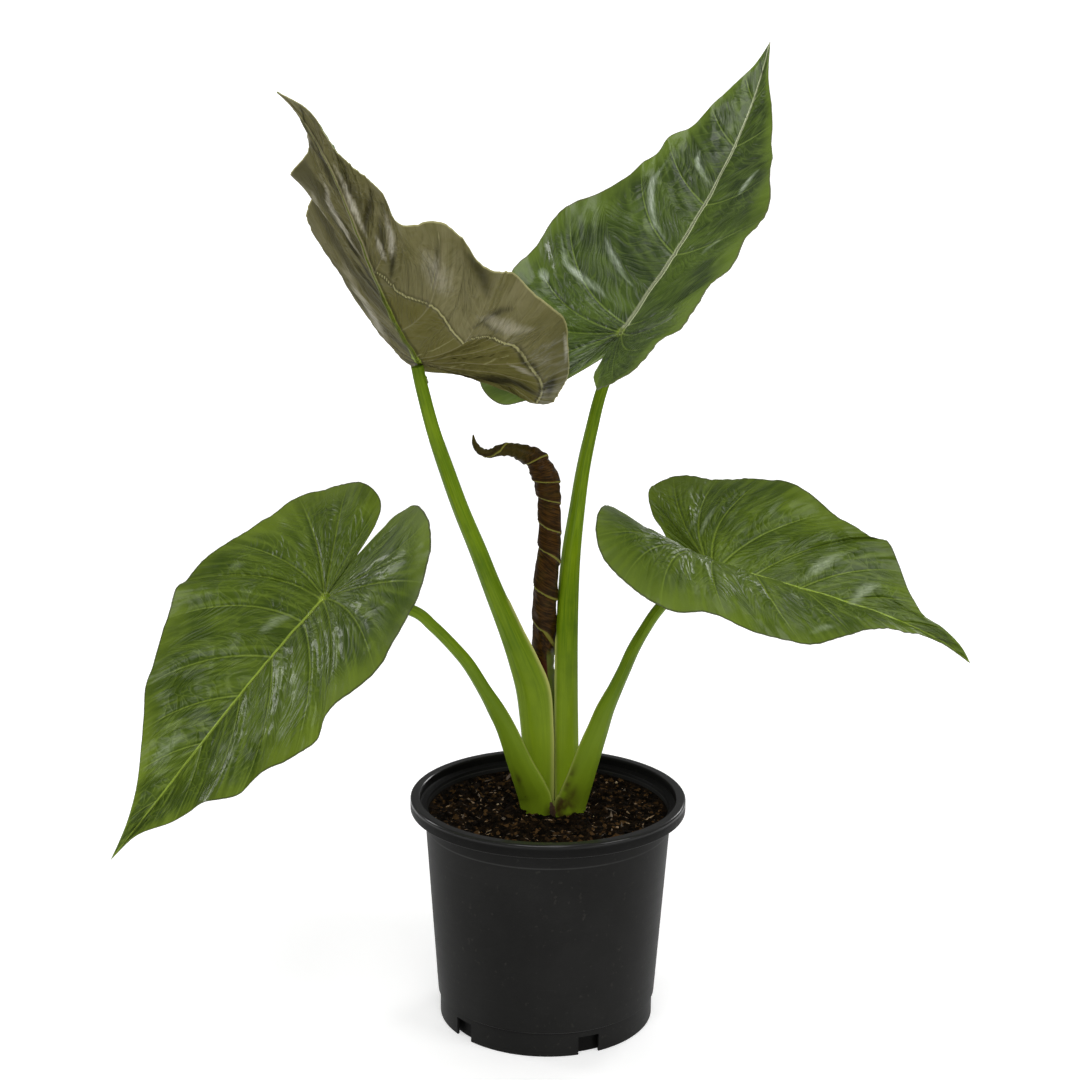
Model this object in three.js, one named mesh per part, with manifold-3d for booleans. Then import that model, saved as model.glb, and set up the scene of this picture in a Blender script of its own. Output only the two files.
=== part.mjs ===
// Potted alocasia: four grown leaves on sheathed stalks and one leaf still rolled, in a round nursery pot of soil.
// Millimetres, +Z up. The origin is the middle of the pot's flat underside, and the plant's front faces -Y.
import * as THREE from 'three';
import { mergeVertices } from 'three/addons/utils/BufferGeometryUtils.js';
import Module from 'manifold-3d';

const wasm = await Module();
wasm.setup();

const { sin, cos, abs, min, max, PI, sqrt, floor, hypot } = Math;
const degree = PI / 180;

// Driving dimensions of the pot
const potHeight = 160;
const rimRadius = 95;
const rimInnerRadius = 88.5;
const rimBandHeight = 9;
const rimRounding = 1.6;
const bodyTopRadius = 85.3;
const bodyFootRadius = 76;
const footStepHeight = 17;
const footRadius = 74.5;
const wall = 2;
const ledgeDrop = 6;
const floorRadius = 60;
const floorThickness = 2.4;
const channelHeight = 13;
const potSegments = 48;
const notchCount = 5;
const notchWidth = 15;
const notchHeight = 13;
const notchInnerRadius = 55;
const notchOuterRadius = 80;
const firstNotchAngle = -90 + 22.9;

// Clearance that touching pieces keep
const gap = 0.3;

// Driving dimensions of the soil and of the corm buried in it
const soilLevel = 148.5;
const soilRings = 5;
const soilSegments = potSegments;
const soilLumpHeight = 1.6;
const soilLumpSpacing = 17;
const cormCentre = [4, 5];
const cormTop = 116;
const cormProfile = [[0, 66], [12, 68], [21, 78], [26, 95], [27, 108], [25, cormTop], [0, cormTop]];
const cormSegments = 16;
const rootCount = 6;
const rootLength = 34;
const rootRadius = 3;
const rootSides = 6;
const rootDrop = 26;

// Driving dimensions of every leaf blade
const bladeThickness = 0.9;
const keelDepth = 1.8;
const keelStart = 5;
const keelRise = 40;
const ringStops = [0, 0.08, 0.25, 0.44, 0.64, 0.83, 1];
const columnsPerVein = 4;
const denseVeins = 9;
const bladeClearance = 0.6;
const normalStep = 0.5;
const bendSteps = 8;
const curlLength = 100;
const veinBow = [0, 0.04, 0.06, 0.08, 0.11, 0.13, 0.12, 0.09, 0.05, 0.02, 0, 0];

// One leaf each. Points of an outline run from the tip round the lobe to the notch between the lobes, in the flat
// blade: x across it, y along the midrib from the stalk's joint. arch bends the midrib, fold and curl lift the
// right and left half, and veinStart says where on the midrib the vein that ends at veinEnd of the outline starts.
// liftRight and liftLeft raise the margin at each vein and half way between two, from the tip on.
const leaves = {
  lower_left: {
    junction: [-146.3, -52, 312.6], size: 1, heading: -122.8, rise: -40.5, roll: 12.7, length: 213,
    arch: [-0.231, 0.142, 0.402], fold: [0.127, 0.312], curl: [-0.013, -0.226], twist: 0.741,
    veinEnd: [0, 0.06, 0.13, 0.19, 0.25, 0.36, 0.455, 0.56, 0.68, 0.77, 0.88, 1],
    veinStart: [1, 0.78, 0.57, 0.39, 0.24, 0.1, 0.01, 0, 0, 0, 0, 0],
    bow: [veinBow, veinBow], pillow: 5, folds: [], apex: [4, -34], colour: 0x4a6a22,
    liftRight: [0, 0, 0, -1, 2, 2, -1, -3, 3, 2, -1, 4, -2, 1, 0, 0, 1, -3, -1, 2, -2, -1, 0],
    liftLeft: [0, -1, 1, 2, -3, -2, 4, 4, -2, 0, 1, -3, -1, 1, 0, 3, 0, 0, 3, 1, 0, 2, 0],
    right: [[7, 188], [18, 164], [32, 143], [50, 120], [59, 102], [76, 75], [88, 54], [93, 40],
      [96, 18], [96, -5], [94, -35], [90, -60], [72, -76], [45, -81], [23, -75], [10, -59]],
    left: [[-3, 193], [-15, 175], [-27, 153], [-44, 136], [-51, 115], [-67, 95], [-74, 78], [-73, 59],
      [-87, 37], [-97, 12], [-101, -20], [-94, -46], [-84, -71], [-45, -80], [-17, -75], [-1, -63]],
  },
  lower_right: {
    junction: [104.4, -8.8, 328.4], size: 1, heading: 110.4, rise: -13.1, roll: 9, length: 185,
    arch: [0.208, -0.598, 0.588], fold: [0.399, 0.614], curl: [-1.432, 0.04], twist: -0.587,
    veinEnd: [0, 0.1, 0.2, 0.275, 0.37, 0.49, 0.61, 0.68, 0.76, 0.84, 0.92, 1],
    veinStart: [1, 0.72, 0.5, 0.345, 0.175, 0.05, 0.02, 0, 0, 0, 0, 0],
    bow: [veinBow, veinBow], pillow: 5, folds: [], apex: [-6, -31], colour: 0x44651f,
    liftRight: [0, 6, 3, 2, 1, -1, -2, 0, 1, 0, 3, 0, 1, -2, -2, -3, 1, -2, -3, 1, 6, 9, 5],
    liftLeft: [0, 2, 2, -1, 1, -3, -3, 2, 0, 4, -2, 1, -3, -2, -1, 3, 3, 0, -2, -5, -4, 2, 0],
    right: [[5, 170], [8, 155], [17, 141], [29, 121], [49, 107], [67, 91], [74, 70], [80, 45],
      [82, 24], [94, 5], [95, -16], [92, -39], [82, -59], [50, -71], [21, -70], [4, -50]],
    left: [[-5, 174], [-9, 158], [-12, 143], [-24, 130], [-41, 117], [-53, 106], [-53, 94], [-64, 73],
      [-80, 49], [-95, 18], [-96, -14], [-85, -42], [-75, -62], [-56, -70], [-33, -56], [-18, -43]],
  },
  upper_right: {
    junction: [47.7, 63.3, 471.8], size: 1.024, heading: 45.8, rise: 41.9, roll: 4.2, length: 245,
    arch: [0.191, 0.348, 0.232], fold: [0.363, 0.289], curl: [-0.033, 0.064], twist: -0.314,
    veinEnd: [0, 0.075, 0.15, 0.255, 0.335, 0.47, 0.555, 0.65, 0.75, 0.85, 0.93, 1],
    veinStart: [1, 0.82, 0.67, 0.47, 0.29, 0.03, 0, 0, 0, 0, 0, 0],
    bow: [veinBow, veinBow], pillow: 6, folds: [], apex: [0, -22], colour: 0x3c5c22,
    liftRight: [0, 0, 1, 1, -2, 0, 4, 0, -3, 1, -1, 3, 0, -3, 1, -2, -1, 0, -1, 3, 3, 1, 0],
    liftLeft: [0, 0, 2, -2, 2, -5, 2, -3, 3, -5, 4, 2, -6, 3, -3, 3, -2, 2, -1, -4, 0, 2, 0],
    right: [[6, 222], [19, 199], [38, 164], [59, 138], [76, 109], [83, 85], [88, 64], [97, 34],
      [102, 8], [100, -15], [102, -42], [98, -66], [78, -76], [55, -72], [29, -55], [8, -38]],
    left: [[-8, 225], [-22, 202], [-32, 180], [-45, 162], [-52, 144], [-60, 124], [-78, 102], [-90, 81],
      [-100, 58], [-105, 24], [-94, -7], [-91, -39], [-78, -68], [-50, -82], [-30, -68], [-10, -41]],
  },
  upper_left: {
    junction: [-88, -15.1, 462.5], size: 1, heading: -160.2, rise: 37, roll: 11.1, length: 263,
    arch: [0.56, -0.83, 0.78], fold: [0.31, 0.18], curl: [0.46, 0.61], twist: 0.04,
    veinEnd: [0, 0.08, 0.155, 0.235, 0.355, 0.5, 0.6, 0.68, 0.76, 0.825, 0.92, 1],
    veinStart: [1, 0.75, 0.56, 0.36, 0.14, 0.01, 0, 0, 0, 0, 0, 0],
    pillow: 5, folds: [[1, 0.222, 0.035, -11], [1, 0.31, 0.05, 4]], apex: [0, -14], colour: 0x5f5838,
    liftRight: [0, 4, 5, 4, 4, 6, 0, 3, -3, -4, 0, 0, 0, 0, 0, 0, 0, 0, 0, -2, 1, 1, 0],
    liftLeft: [0, 0, 0, -3, -2, 0, 0, -3, 1, 2, -5, 3, 0, 0, 3, 3, 1, -2, -4, -1, 4, 3, 0],
    creaseHeight: 9,
    bow: [veinBow, [0, 0.04, 0.06, 0.08, 0.1, 0.1, 0.06, -0.01, -0.085, -0.142, -0.078, 0]],
    creaseVein: [2.6, 4, 5, 6, 7, 9, 11],
    creaseAt: [0, 0.42, 0.4, 0.57, 0.68, 0.86, 0.95],
    creaseWidth: [0.05, 0.42, 0.4, 0.4, 0.4, 0.2, 0.1],
    creaseShare: [0, 1, 1, 1, 1, 0.8, 0],
    right: [[7, 238], [10, 215], [26, 184], [42, 158], [58, 130], [74, 100], [88, 72], [97, 42],
      [104, 12], [106, -20], [100, -54], [86, -82], [66, -96], [42, -92], [24, -68], [10, -36]],
    left: [[-8, 242], [-9, 216], [-14, 190], [-25, 167], [-30, 142], [-50, 137], [-61, 121], [-68, 100],
      [-82, 82], [-92, 56], [-104, 16], [-97, -26], [-85, -62], [-61, -86], [-50, -62], [-25, -23]],
  },
};

// Stalks: stations from the corm up to the blade's joint as x, y, z, half width, half depth. facing is the
// direction in plan that the broad outside of the sheath faces.
const stalkSides = 12;
const stationsPerSpan = 2;
const stalks = {
  lower_left: {
    facing: [-0.35, -1],
    stations: [[-6, -3, 116.3, 9, 5], [-8, -5, 153, 12, 5.3], [-11.6, -6.5, 166.6, 11.6, 5.4],
      [-19.6, -9, 186, 9.2, 5.4], [-28.7, -13.5, 211, 7, 5], [-35.5, -17, 226, 6.1, 4.8],
      [-43.5, -21, 241.4, 4.7, 4.5], [-54, -27, 261, 4.2, 4.3], [-65, -32, 276, 3.9, 4],
      [-77, -37, 290, 3.8, 3.8], [-89.6, -42, 301.7, 3.8, 3.8], [-118, -48.5, 311, 3.8, 3.8],
      [-145.5, -52, 311.5, 3.7, 3.7]],
  },
  lower_right: {
    facing: [0.35, -1],
    stations: [[12, -5, 116.3, 9, 5], [14.5, -7, 151, 11.9, 5.6], [17.2, -7, 160, 11.1, 5.6],
      [22, -7.5, 174.5, 10, 5.5], [29.5, -8, 198.6, 8.6, 5.2], [33.2, -8, 209.4, 7.7, 5],
      [38, -8.5, 224, 6.5, 4.8], [44.3, -8.5, 238.3, 5.1, 4.6], [50.4, -9, 252.6, 4.4, 4.4],
      [56.2, -9, 266.8, 4.2, 4.2], [63.7, -9, 281, 3.8, 3.9], [72.5, -9, 295, 3.8, 3.8],
      [88, -9, 313, 3.8, 3.8], [104.4, -8.8, 326, 3.8, 3.8]],
  },
  upper_left: {
    facing: [-0.2, -1],
    stations: [[-5, 9, 116.3, 9, 4.6], [-6, 9, 150, 10.3, 4.8], [-6.6, 9, 178, 10.7, 5], [-8, 8.5, 205, 11.6, 5.2],
      [-11, 8, 232, 12, 5.5], [-18, 7, 253.5, 10.3, 5.8], [-27, 6, 276, 8.2, 6], [-38.3, 4, 304, 6.6, 6.2],
      [-49, 1, 333, 5.9, 5.9], [-60, -2, 361, 5.4, 5.5], [-69.5, -6, 389, 5.1, 5.2], [-78, -10, 416, 4.5, 4.7],
      [-84.7, -14, 443.4, 4.2, 4.3], [-88, -15.1, 459, 4, 4.1]],
  },
  upper_right: {
    facing: [0.25, -1],
    stations: [[13.5, 12, 116.3, 8, 4.6], [13.4, 12.7, 150, 8.5, 4.9], [12.8, 13, 190, 8.3, 5.4],
      [12.2, 14, 225, 8, 5.8], [12, 15.5, 265, 7.6, 6], [12.7, 21, 299, 7.2, 6], [14.5, 28, 326, 6.5, 5.8],
      [18, 37, 353, 5.4, 5.4], [22, 45, 380, 4.7, 4.8], [27.6, 53, 406, 4.3, 4.4], [34.6, 60, 433, 4, 4.1],
      [47.7, 63.3, 468.5, 3.9, 3.9]],
  },
};

// The leaf that is still rolled: stations as x, y, z, radius, with the free edge of the roll as a spiral step
const rollSides = 12;
const rollStep = 0.16;
const rollTurnPerSpan = 0.55;
const rollStations = [[1, 23, 116.3, 3.6], [0.5, 23, 149, 4], [-1, 23, 190, 4.6], [-3, 23, 225, 5.5],
  [-4.2, 22.8, 243, 7.4], [-3.9, 22.3, 259.5, 8.8], [-3.4, 19, 283, 9], [-3.1, 14.5, 305, 9], [-0.7, 14, 335, 8.4],
  [-1.2, 14, 362, 8.3], [-2.7, 14, 376, 9.4], [-6.3, 14, 386, 9], [-11.4, 14, 393, 7.7], [-18.6, 13.5, 396.7, 6.5],
  [-26.4, 13, 399.2, 5], [-35, 12, 398.7, 4.1], [-42, 10, 396.9, 3.2], [-47.7, 8, 399.4, 2.7],
  [-51.2, 6, 404.5, 1.9], [-52.3, 5, 410.7, 0.5]];

const colours = { pot: 0x232325, soil: 0x2b2119, corm: 0x8a6a48, stalk: 0x7f9c2c, roll: 0x3a2a20 };
const finish = { leaf: 0.35, stalk: 0.45, pot: 0.5, soil: 0.95 };

// Linear reading of a table at x
function lookUp(x, xs, ys) {
  let i = 1;
  while (i < xs.length - 1 && x > xs[i]) i += 1;
  const share = min(1, max(0, (x - xs[i - 1]) / (xs[i] - xs[i - 1])));
  return ys[i - 1] + share * (ys[i] - ys[i - 1]);
}

// Uniform Catmull-Rom curve through points of any size, at t from 0 to 1
function curveThrough(points, t) {
  const last = points.length - 1;
  const place = min(1, max(0, t)) * last;
  const i = min(floor(place), last - 1);
  const w = place - i;
  const [before, from, to, after] = [points[max(i - 1, 0)], points[i], points[i + 1], points[min(i + 2, last)]];
  return from.map((p1, k) => {
    const p2 = to[k];
    const v0 = (p2 - before[k]) / 2;
    const v1 = (after[k] - p1) / 2;
    return ((2 * p1 - 2 * p2 + v0 + v1) * w + (3 * p2 - 3 * p1 - 2 * v0 - v1)) * w * w + v0 * w + p1;
  });
}

// A geometry of points and triangles as a solid, and back
function toSolid(geometry) {
  const bare = geometry.clone();
  bare.deleteAttribute('normal');
  bare.deleteAttribute('uv');
  const merged = mergeVertices(bare);
  const index = merged.index.array;
  const kept = [];
  for (let i = 0; i < index.length; i += 3) {
    const [a, b, c] = [index[i], index[i + 1], index[i + 2]];
    if (a !== b && b !== c && c !== a) kept.push(a, b, c);
  }
  const vertProperties = new Float32Array(merged.attributes.position.array);
  return new wasm.Manifold(new wasm.Mesh({ numProp: 3, vertProperties, triVerts: new Uint32Array(kept) }));
}

function toGeometry(solid) {
  const mesh = solid.getMesh();
  const geometry = new THREE.BufferGeometry();
  geometry.setAttribute('position', new THREE.BufferAttribute(new Float32Array(mesh.vertProperties), 3));
  geometry.setIndex(new THREE.BufferAttribute(new Uint32Array(mesh.triVerts), 1));
  return geometry;
}

// The largest body of a cut, without the scraps
function largestBody(solid) {
  return solid.decompose().reduce((best, body) => (body.volume() > best.volume() ? body : best));
}

function geometryOf(points, triangles) {
  const geometry = new THREE.BufferGeometry();
  geometry.setAttribute('position', new THREE.Float32BufferAttribute(points.flat(), 3));
  geometry.setIndex(triangles.flat());
  return geometry;
}

// Closed skin over a row of rings with equal counts, with a fan over each end
function loft(rings) {
  const count = rings[0].length;
  const points = rings.flat();
  const middle = (ring) => [0, 1, 2].map((k) => ring.reduce((sum, p) => sum + p[k], 0) / count);
  const first = points.push(middle(rings[0])) - 1;
  const last = points.push(middle(rings[rings.length - 1])) - 1;
  const triangles = [];
  for (let j = 0; j < count; j += 1) {
    const next = (j + 1) % count;
    for (let i = 0; i < rings.length - 1; i += 1) {
      const [a, b] = [i * count + j, i * count + next];
      triangles.push([a, b, b + count], [a, b + count, a + count]);
    }
    const top = (rings.length - 1) * count;
    triangles.push([first, next, j], [last, top + j, top + next]);
  }
  return geometryOf(points, triangles);
}

// Ring of a tube: round the path's direction, with its width square to the facing direction
function tubeRing(centre, ahead, facing, sides, radiusAt) {
  const along = new THREE.Vector3(...ahead).normalize();
  const across = new THREE.Vector3(...facing, 0).cross(along).normalize();
  const deep = new THREE.Vector3().crossVectors(along, across);
  return Array.from({ length: sides }, (_, j) => {
    const angle = (2 * PI * j) / sides;
    const [w, d] = radiusAt(angle);
    return [0, 1, 2].map((k) => {
      const a = across.getComponent(k) * w * cos(angle);
      return centre[k] + a + deep.getComponent(k) * d * sin(angle);
    });
  });
}

// Stations of a path, with the direction at each
function walk(stations, perSpan) {
  const count = (stations.length - 1) * perSpan;
  const step = 0.002;
  return Array.from({ length: count + 1 }, (_, i) => {
    const t = i / count;
    const here = curveThrough(stations, t);
    const fore = curveThrough(stations, min(1, t + step));
    const aft = curveThrough(stations, max(0, t - step));
    const ahead = [0, 1, 2].map((k) => fore[k] - aft[k]);
    return { here, ahead: i === 0 ? [0, 0, 1] : ahead, t };
  });
}

function stalkSolid({ stations, facing }, grow) {
  const rings = walk(stations, stationsPerSpan).map(({ here, ahead }) => (
    tubeRing(here, ahead, facing, stalkSides, () => [here[3] + grow, here[4] + grow])));
  return toSolid(loft(rings));
}

// The roll's outline is a spiral: its radius grows by rollStep round one turn and steps back at the free edge
function rollSolid(grow) {
  const spans = rollStations.length - 1;
  const rings = walk(rollStations, stationsPerSpan).map(({ here, ahead, t }) => (
    tubeRing(here, ahead, [0, -1], rollSides, (angle) => {
      const turn = angle / (2 * PI) + t * spans * rollTurnPerSpan;
      const radius = here[3] * (1 - rollStep * (turn - floor(turn))) + grow;
      return [radius, radius];
    })));
  return toSolid(loft(rings));
}

// Sine and cosine of an angle summed along a distance, by midpoints
function bend(angleAt, distance) {
  let [rise, run] = [0, 0];
  for (let i = 0; i < bendSteps; i += 1) {
    const angle = angleAt((distance * (i + 0.5)) / bendSteps);
    rise += sin(angle);
    run += cos(angle);
  }
  return [(rise * distance) / bendSteps, (run * distance) / bendSteps];
}

function bladeFrame(leaf) {
  const heading = leaf.heading * degree;
  const rise = leaf.rise * degree;
  const ahead = new THREE.Vector3(sin(heading) * cos(rise), cos(heading) * cos(rise), sin(rise));
  const level = new THREE.Vector3(cos(heading), -sin(heading), 0);
  const across = level.clone().applyAxisAngle(ahead, -leaf.roll * degree);
  return { ahead, across, up: new THREE.Vector3().crossVectors(across, ahead) };
}

// Flat blade coordinates to the bent blade: the midrib arches by its pitch, each half lifts by fold and curl,
// and the whole section turns by twist towards the tip
function bendBlade(leaf, frame, x, y) {
  const pitch = (q) => {
    const share = q / leaf.length;
    return q > 0 ? leaf.arch[0] * share + leaf.arch[1] * share ** 3 : leaf.arch[2] * share;
  };
  const [spineUp, spineAlong] = bend(pitch, y);
  const side = x > 0 ? 0 : 1;
  const lift = (q) => leaf.fold[side] + (leaf.curl[side] / curlLength) * q;
  const [high, wide] = bend(lift, abs(x));
  const turn = (leaf.twist * y) / leaf.length;
  const out = Math.sign(x) * wide;
  const u = out * cos(turn) - high * sin(turn);
  const w = out * sin(turn) + high * cos(turn);
  const tilt = pitch(y);
  return new THREE.Vector3(...leaf.junction)
    .addScaledVector(frame.across, leaf.size * u)
    .addScaledVector(frame.ahead, leaf.size * (spineAlong - w * sin(tilt)))
    .addScaledVector(frame.up, leaf.size * (spineUp + w * cos(tilt)));
}

// A grid line from the midrib to the margin follows a vein: a parabola from its start to its end, bowed outwards
function flatPoint(leaf, side, t, r) {
  const outline = [[0, leaf.length], ...(side > 0 ? leaf.right : leaf.left), leaf.apex];
  const end = curveThrough(outline, t);
  const start = [0, lookUp(t, leaf.veinEnd, leaf.veinStart) * leaf.length];
  const bow = 2 * side * lookUp(t, leaf.veinEnd, leaf.bow[side > 0 ? 0 : 1]);
  const chord = [end[0] - start[0], end[1] - start[1]];
  const knee = [(start[0] + end[0]) / 2 + chord[1] * bow, (start[1] + end[1]) / 2 - chord[0] * bow];
  return [0, 1].map((k) => (1 - r) ** 2 * start[k] + 2 * r * (1 - r) * knee[k] + r ** 2 * end[k]);
}

// Relief square to the blade: a pillow between two veins, the margin's lift at each half vein, single folds, and one
// long crease
const pillowReach = [0, 1, 3, 6, 9, 11];
const pillowShare = [0.15, 0.4, 0.8, 1, 0.8, 0.3];
const marginPower = 2.5;
const endFade = 1.6;
function relief(leaf, side, t, r) {
  const vein = lookUp(t, leaf.veinEnd, leaf.veinEnd.map((_, i) => i));
  const fade = min(1, sin(PI * t) * endFade);
  const pillow = leaf.pillow * lookUp(vein, pillowReach, pillowShare) * abs(sin(PI * vein)) ** 0.8;
  let height = pillow * r * (1 - r) ** 0.9;
  const lifts = (side > 0 ? leaf.liftRight : leaf.liftLeft).map((lift) => [lift]);
  height += fade * curveThrough(lifts, vein / (leaf.veinEnd.length - 1))[0] * r ** marginPower;
  for (const [foldSide, at, width, rise] of leaf.folds) {
    if (foldSide === side) height += fade * rise * r ** marginPower * Math.exp(-(((t - at) / width) ** 2));
  }
  if (leaf.creaseHeight && side < 0) {
    const read = (table) => lookUp(vein, leaf.creaseVein, table);
    const away = abs(r - read(leaf.creaseAt)) / read(leaf.creaseWidth);
    height -= leaf.creaseHeight * fade * read(leaf.creaseShare) * max(0, 1 - sqrt(away * away + 0.02));
  }
  return height;
}

// Grid columns, counted in veins from the tip: several between two veins, and one each round the notch
function veinColumns(leaf) {
  const last = leaf.veinEnd.length - 1;
  const dense = Array.from({ length: denseVeins * columnsPerVein }, (_, i) => i / columnsPerVein);
  return [...dense, denseVeins, denseVeins + 0.5, denseVeins + 1, last];
}

// Blade as a closed sheet: the same grid on its upper and its lower face, joined along the margin
function bladeSolid(leaf, grow) {
  const frame = bladeFrame(leaf);
  const half = bladeThickness / 2 + grow;
  const stops = [...ringStops.slice(1).reverse().map((r) => [-1, r]), ...ringStops.map((r) => [1, r])];
  const columns = veinColumns(leaf);
  const order = leaf.veinEnd.map((_, i) => i);
  const [upper, lower] = [[], []];
  for (const vein of columns) {
    const t = lookUp(vein, order, leaf.veinEnd);
    for (const [side, r] of stops) {
      const [x, y] = flatPoint(leaf, side, t, r);
      const e = normalStep;
      const here = bendBlade(leaf, frame, x, y);
      const acrossStep = bendBlade(leaf, frame, x + e, y).sub(bendBlade(leaf, frame, x - e, y));
      const alongStep = bendBlade(leaf, frame, x, y + e).sub(bendBlade(leaf, frame, x, y - e));
      const normal = acrossStep.cross(alongStep).normalize();
      const height = relief(leaf, side, t, r);
      const keel = r === 0 ? keelDepth * min(1, (y + keelStart) / keelRise) * (1 - y / leaf.length) : 0;
      upper.push(here.clone().addScaledVector(normal, height + half).toArray());
      lower.push(here.clone().addScaledVector(normal, height - half - keel).toArray());
    }
  }
  const across = stops.length;
  const below = upper.length;
  const triangles = [];
  for (let i = 0; i < columns.length - 1; i += 1) {
    for (let j = 0; j < across - 1; j += 1) {
      const [a, d] = [i * across + j, (i + 1) * across + j];
      triangles.push([a, d, d + 1], [a, d + 1, a + 1]);
      triangles.push([a + below, d + 1 + below, d + below], [a + below, a + 1 + below, d + 1 + below]);
    }
    const [a, d] = [i * across, (i + 1) * across];
    triangles.push([a, a + below, d + below], [a, d + below, d]);
    const [b, c] = [a + across - 1, d + across - 1];
    triangles.push([b, c, c + below], [b, c + below, b + below]);
  }
  return toSolid(geometryOf([...upper, ...lower], triangles));
}

// Pot: one moulded wall round a flat floor, a raised channel at its edge, a broad turned rim and square notches
function potSolid() {
  const rimUnder = potHeight - rimBandHeight;
  const ledge = potHeight - ledgeDrop;
  const innerTop = bodyTopRadius - wall;
  const innerFoot = bodyFootRadius - wall;
  const outline = [[0, 0], [floorRadius, 0], [floorRadius, channelHeight - floorThickness],
    [footRadius - wall, channelHeight - floorThickness], [footRadius - wall, 0], [footRadius, 0],
    [footRadius, footStepHeight], [bodyFootRadius, footStepHeight + 1], [bodyTopRadius, rimUnder],
    [rimRadius - rimRounding / 2, rimUnder], [rimRadius, rimUnder + rimRounding / 2],
    [rimRadius, potHeight - rimRounding], [rimRadius - rimRounding, potHeight], [rimInnerRadius, potHeight],
    [rimInnerRadius - 0.5, ledge], [innerTop, ledge - 1], [innerFoot, footStepHeight + 1],
    [innerFoot, channelHeight], [floorRadius - floorThickness, channelHeight],
    [floorRadius - floorThickness, floorThickness], [0, floorThickness]];
  const points = outline.map(([r, z]) => new THREE.Vector2(r, z));
  const turned = new THREE.LatheGeometry(points, potSegments).rotateX(PI / 2);
  let solid = toSolid(turned);
  for (let i = 0; i < notchCount; i += 1) {
    const length = notchOuterRadius - notchInnerRadius;
    const box = new THREE.BoxGeometry(length, notchWidth, 2 * notchHeight);
    box.translate((notchOuterRadius + notchInnerRadius) / 2, 0, 0);
    box.rotateZ((firstNotchAngle + (360 / notchCount) * i) * degree);
    const slot = toSolid(box);
    const ringPart = toSolid(new THREE.CylinderGeometry(floorRadius, floorRadius, 4 * potHeight, potSegments)
      .rotateX(PI / 2));
    solid = solid.subtract(slot.subtract(ringPart));
  }
  return solid;
}

// Soil: fills the pot up to its level, with a low uneven top
function soilHeight(x, y) {
  const [a, b] = [x / soilLumpSpacing, y / soilLumpSpacing];
  const lumps = sin(2.1 * a + 1.3 * b) + sin(3.7 * b - 1.9 * a + 1) + sin(5.3 * a + 0.7 * b + 2);
  return soilLevel + (lumps / 3) * soilLumpHeight;
}

function soilSolid() {
  const wallRadius = (z) => {
    const share = (z - footStepHeight) / (potHeight - rimBandHeight - footStepHeight);
    return bodyFootRadius + share * (bodyTopRadius - bodyFootRadius) - wall - gap;
  };
  const outline = [[0, floorThickness + gap], [floorRadius - floorThickness - gap, floorThickness + gap],
    [floorRadius - floorThickness - gap, channelHeight + gap], [bodyFootRadius - wall - gap, channelHeight + gap],
    [bodyFootRadius - wall - gap, footStepHeight + 1], [wallRadius(soilLevel), soilLevel]];
  for (let i = soilRings - 1; i >= 0; i -= 1) outline.push([(wallRadius(soilLevel) * i) / soilRings, soilLevel]);
  const points = outline.map(([r, z]) => new THREE.Vector2(r, z));
  const turned = new THREE.LatheGeometry(points, soilSegments).rotateX(PI / 2);
  const place = turned.attributes.position;
  for (let i = 0; i < place.count; i += 1) {
    if (place.getZ(i) > soilLevel - 1) {
      const [x, y] = [place.getX(i), place.getY(i)];
      const inward = min(1, (wallRadius(soilLevel) - hypot(x, y)) / soilLumpSpacing);
      place.setZ(i, soilLevel + (soilHeight(x, y) - soilLevel) * max(0, inward));
    }
  }
  return toSolid(turned);
}

// Corm with its thick roots, under the soil
function cormSolid(grow) {
  const [cx, cy] = cormCentre;
  const points = cormProfile.map(([r, z], i) => {
    const end = i === 0 ? -grow : 0;
    return new THREE.Vector2(r === 0 ? 0 : r + grow, z + (z === cormTop ? grow : end));
  });
  let solid = toSolid(new THREE.LatheGeometry(points, cormSegments).rotateX(PI / 2).translate(cx, cy, 0));
  for (let i = 0; i < rootCount; i += 1) {
    const angle = (2 * PI * (i + 0.5)) / rootCount;
    const [dx, dy] = [cos(angle), sin(angle)];
    const from = 15;
    const stations = [0, 0.5, 1].map((share) => [cx + dx * (from + rootLength * share),
      cy + dy * (from + rootLength * share), 88 - rootDrop * share * share, rootRadius * (1 - 0.6 * share)]);
    const rings = walk(stations, 2).map(({ here, ahead }, j) => (
      tubeRing(here, j === 0 ? [dx, dy, 0] : ahead, [-dy, dx], rootSides, () => [here[3] + grow, here[3] + grow])));
    solid = solid.add(toSolid(loft(rings)));
  }
  return solid;
}

// Every stalk is cut clear of its own blade and of the stalks before it
const group = new THREE.Group();
function addNode(name, solid, colour, roughness) {
  const material = new THREE.MeshStandardMaterial({ color: colour, roughness, metalness: 0 });
  const mesh = new THREE.Mesh(toGeometry(solid), material);
  mesh.name = name;
  group.add(mesh);
}

const standing = [];
for (const [place, stalk] of Object.entries(stalks)) {
  let solid = stalkSolid(stalk, 0).subtract(bladeSolid(leaves[place], bladeClearance));
  for (const cutter of standing) solid = solid.subtract(cutter);
  standing.push(stalkSolid(stalk, gap));
  addNode(`stalk_${place}`, largestBody(solid), colours.stalk, finish.stalk);
  addNode(`blade_${place}`, bladeSolid(leaves[place], 0), leaves[place].colour, finish.leaf);
}
let roll = rollSolid(0);
for (const cutter of standing) roll = roll.subtract(cutter);
standing.push(rollSolid(gap));
addNode('rolled_leaf', largestBody(roll), colours.roll, finish.stalk);

let soil = soilSolid().subtract(cormSolid(gap));
for (const cutter of standing) soil = soil.subtract(cutter);
addNode('soil', largestBody(soil), colours.soil, finish.soil);
addNode('corm', cormSolid(0), colours.corm, finish.soil);
addNode('pot', potSolid(), colours.pot, finish.pot);

export default group;
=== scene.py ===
import math

import bmesh
import bpy
import numpy as np
from mathutils import Color, Matrix


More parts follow.
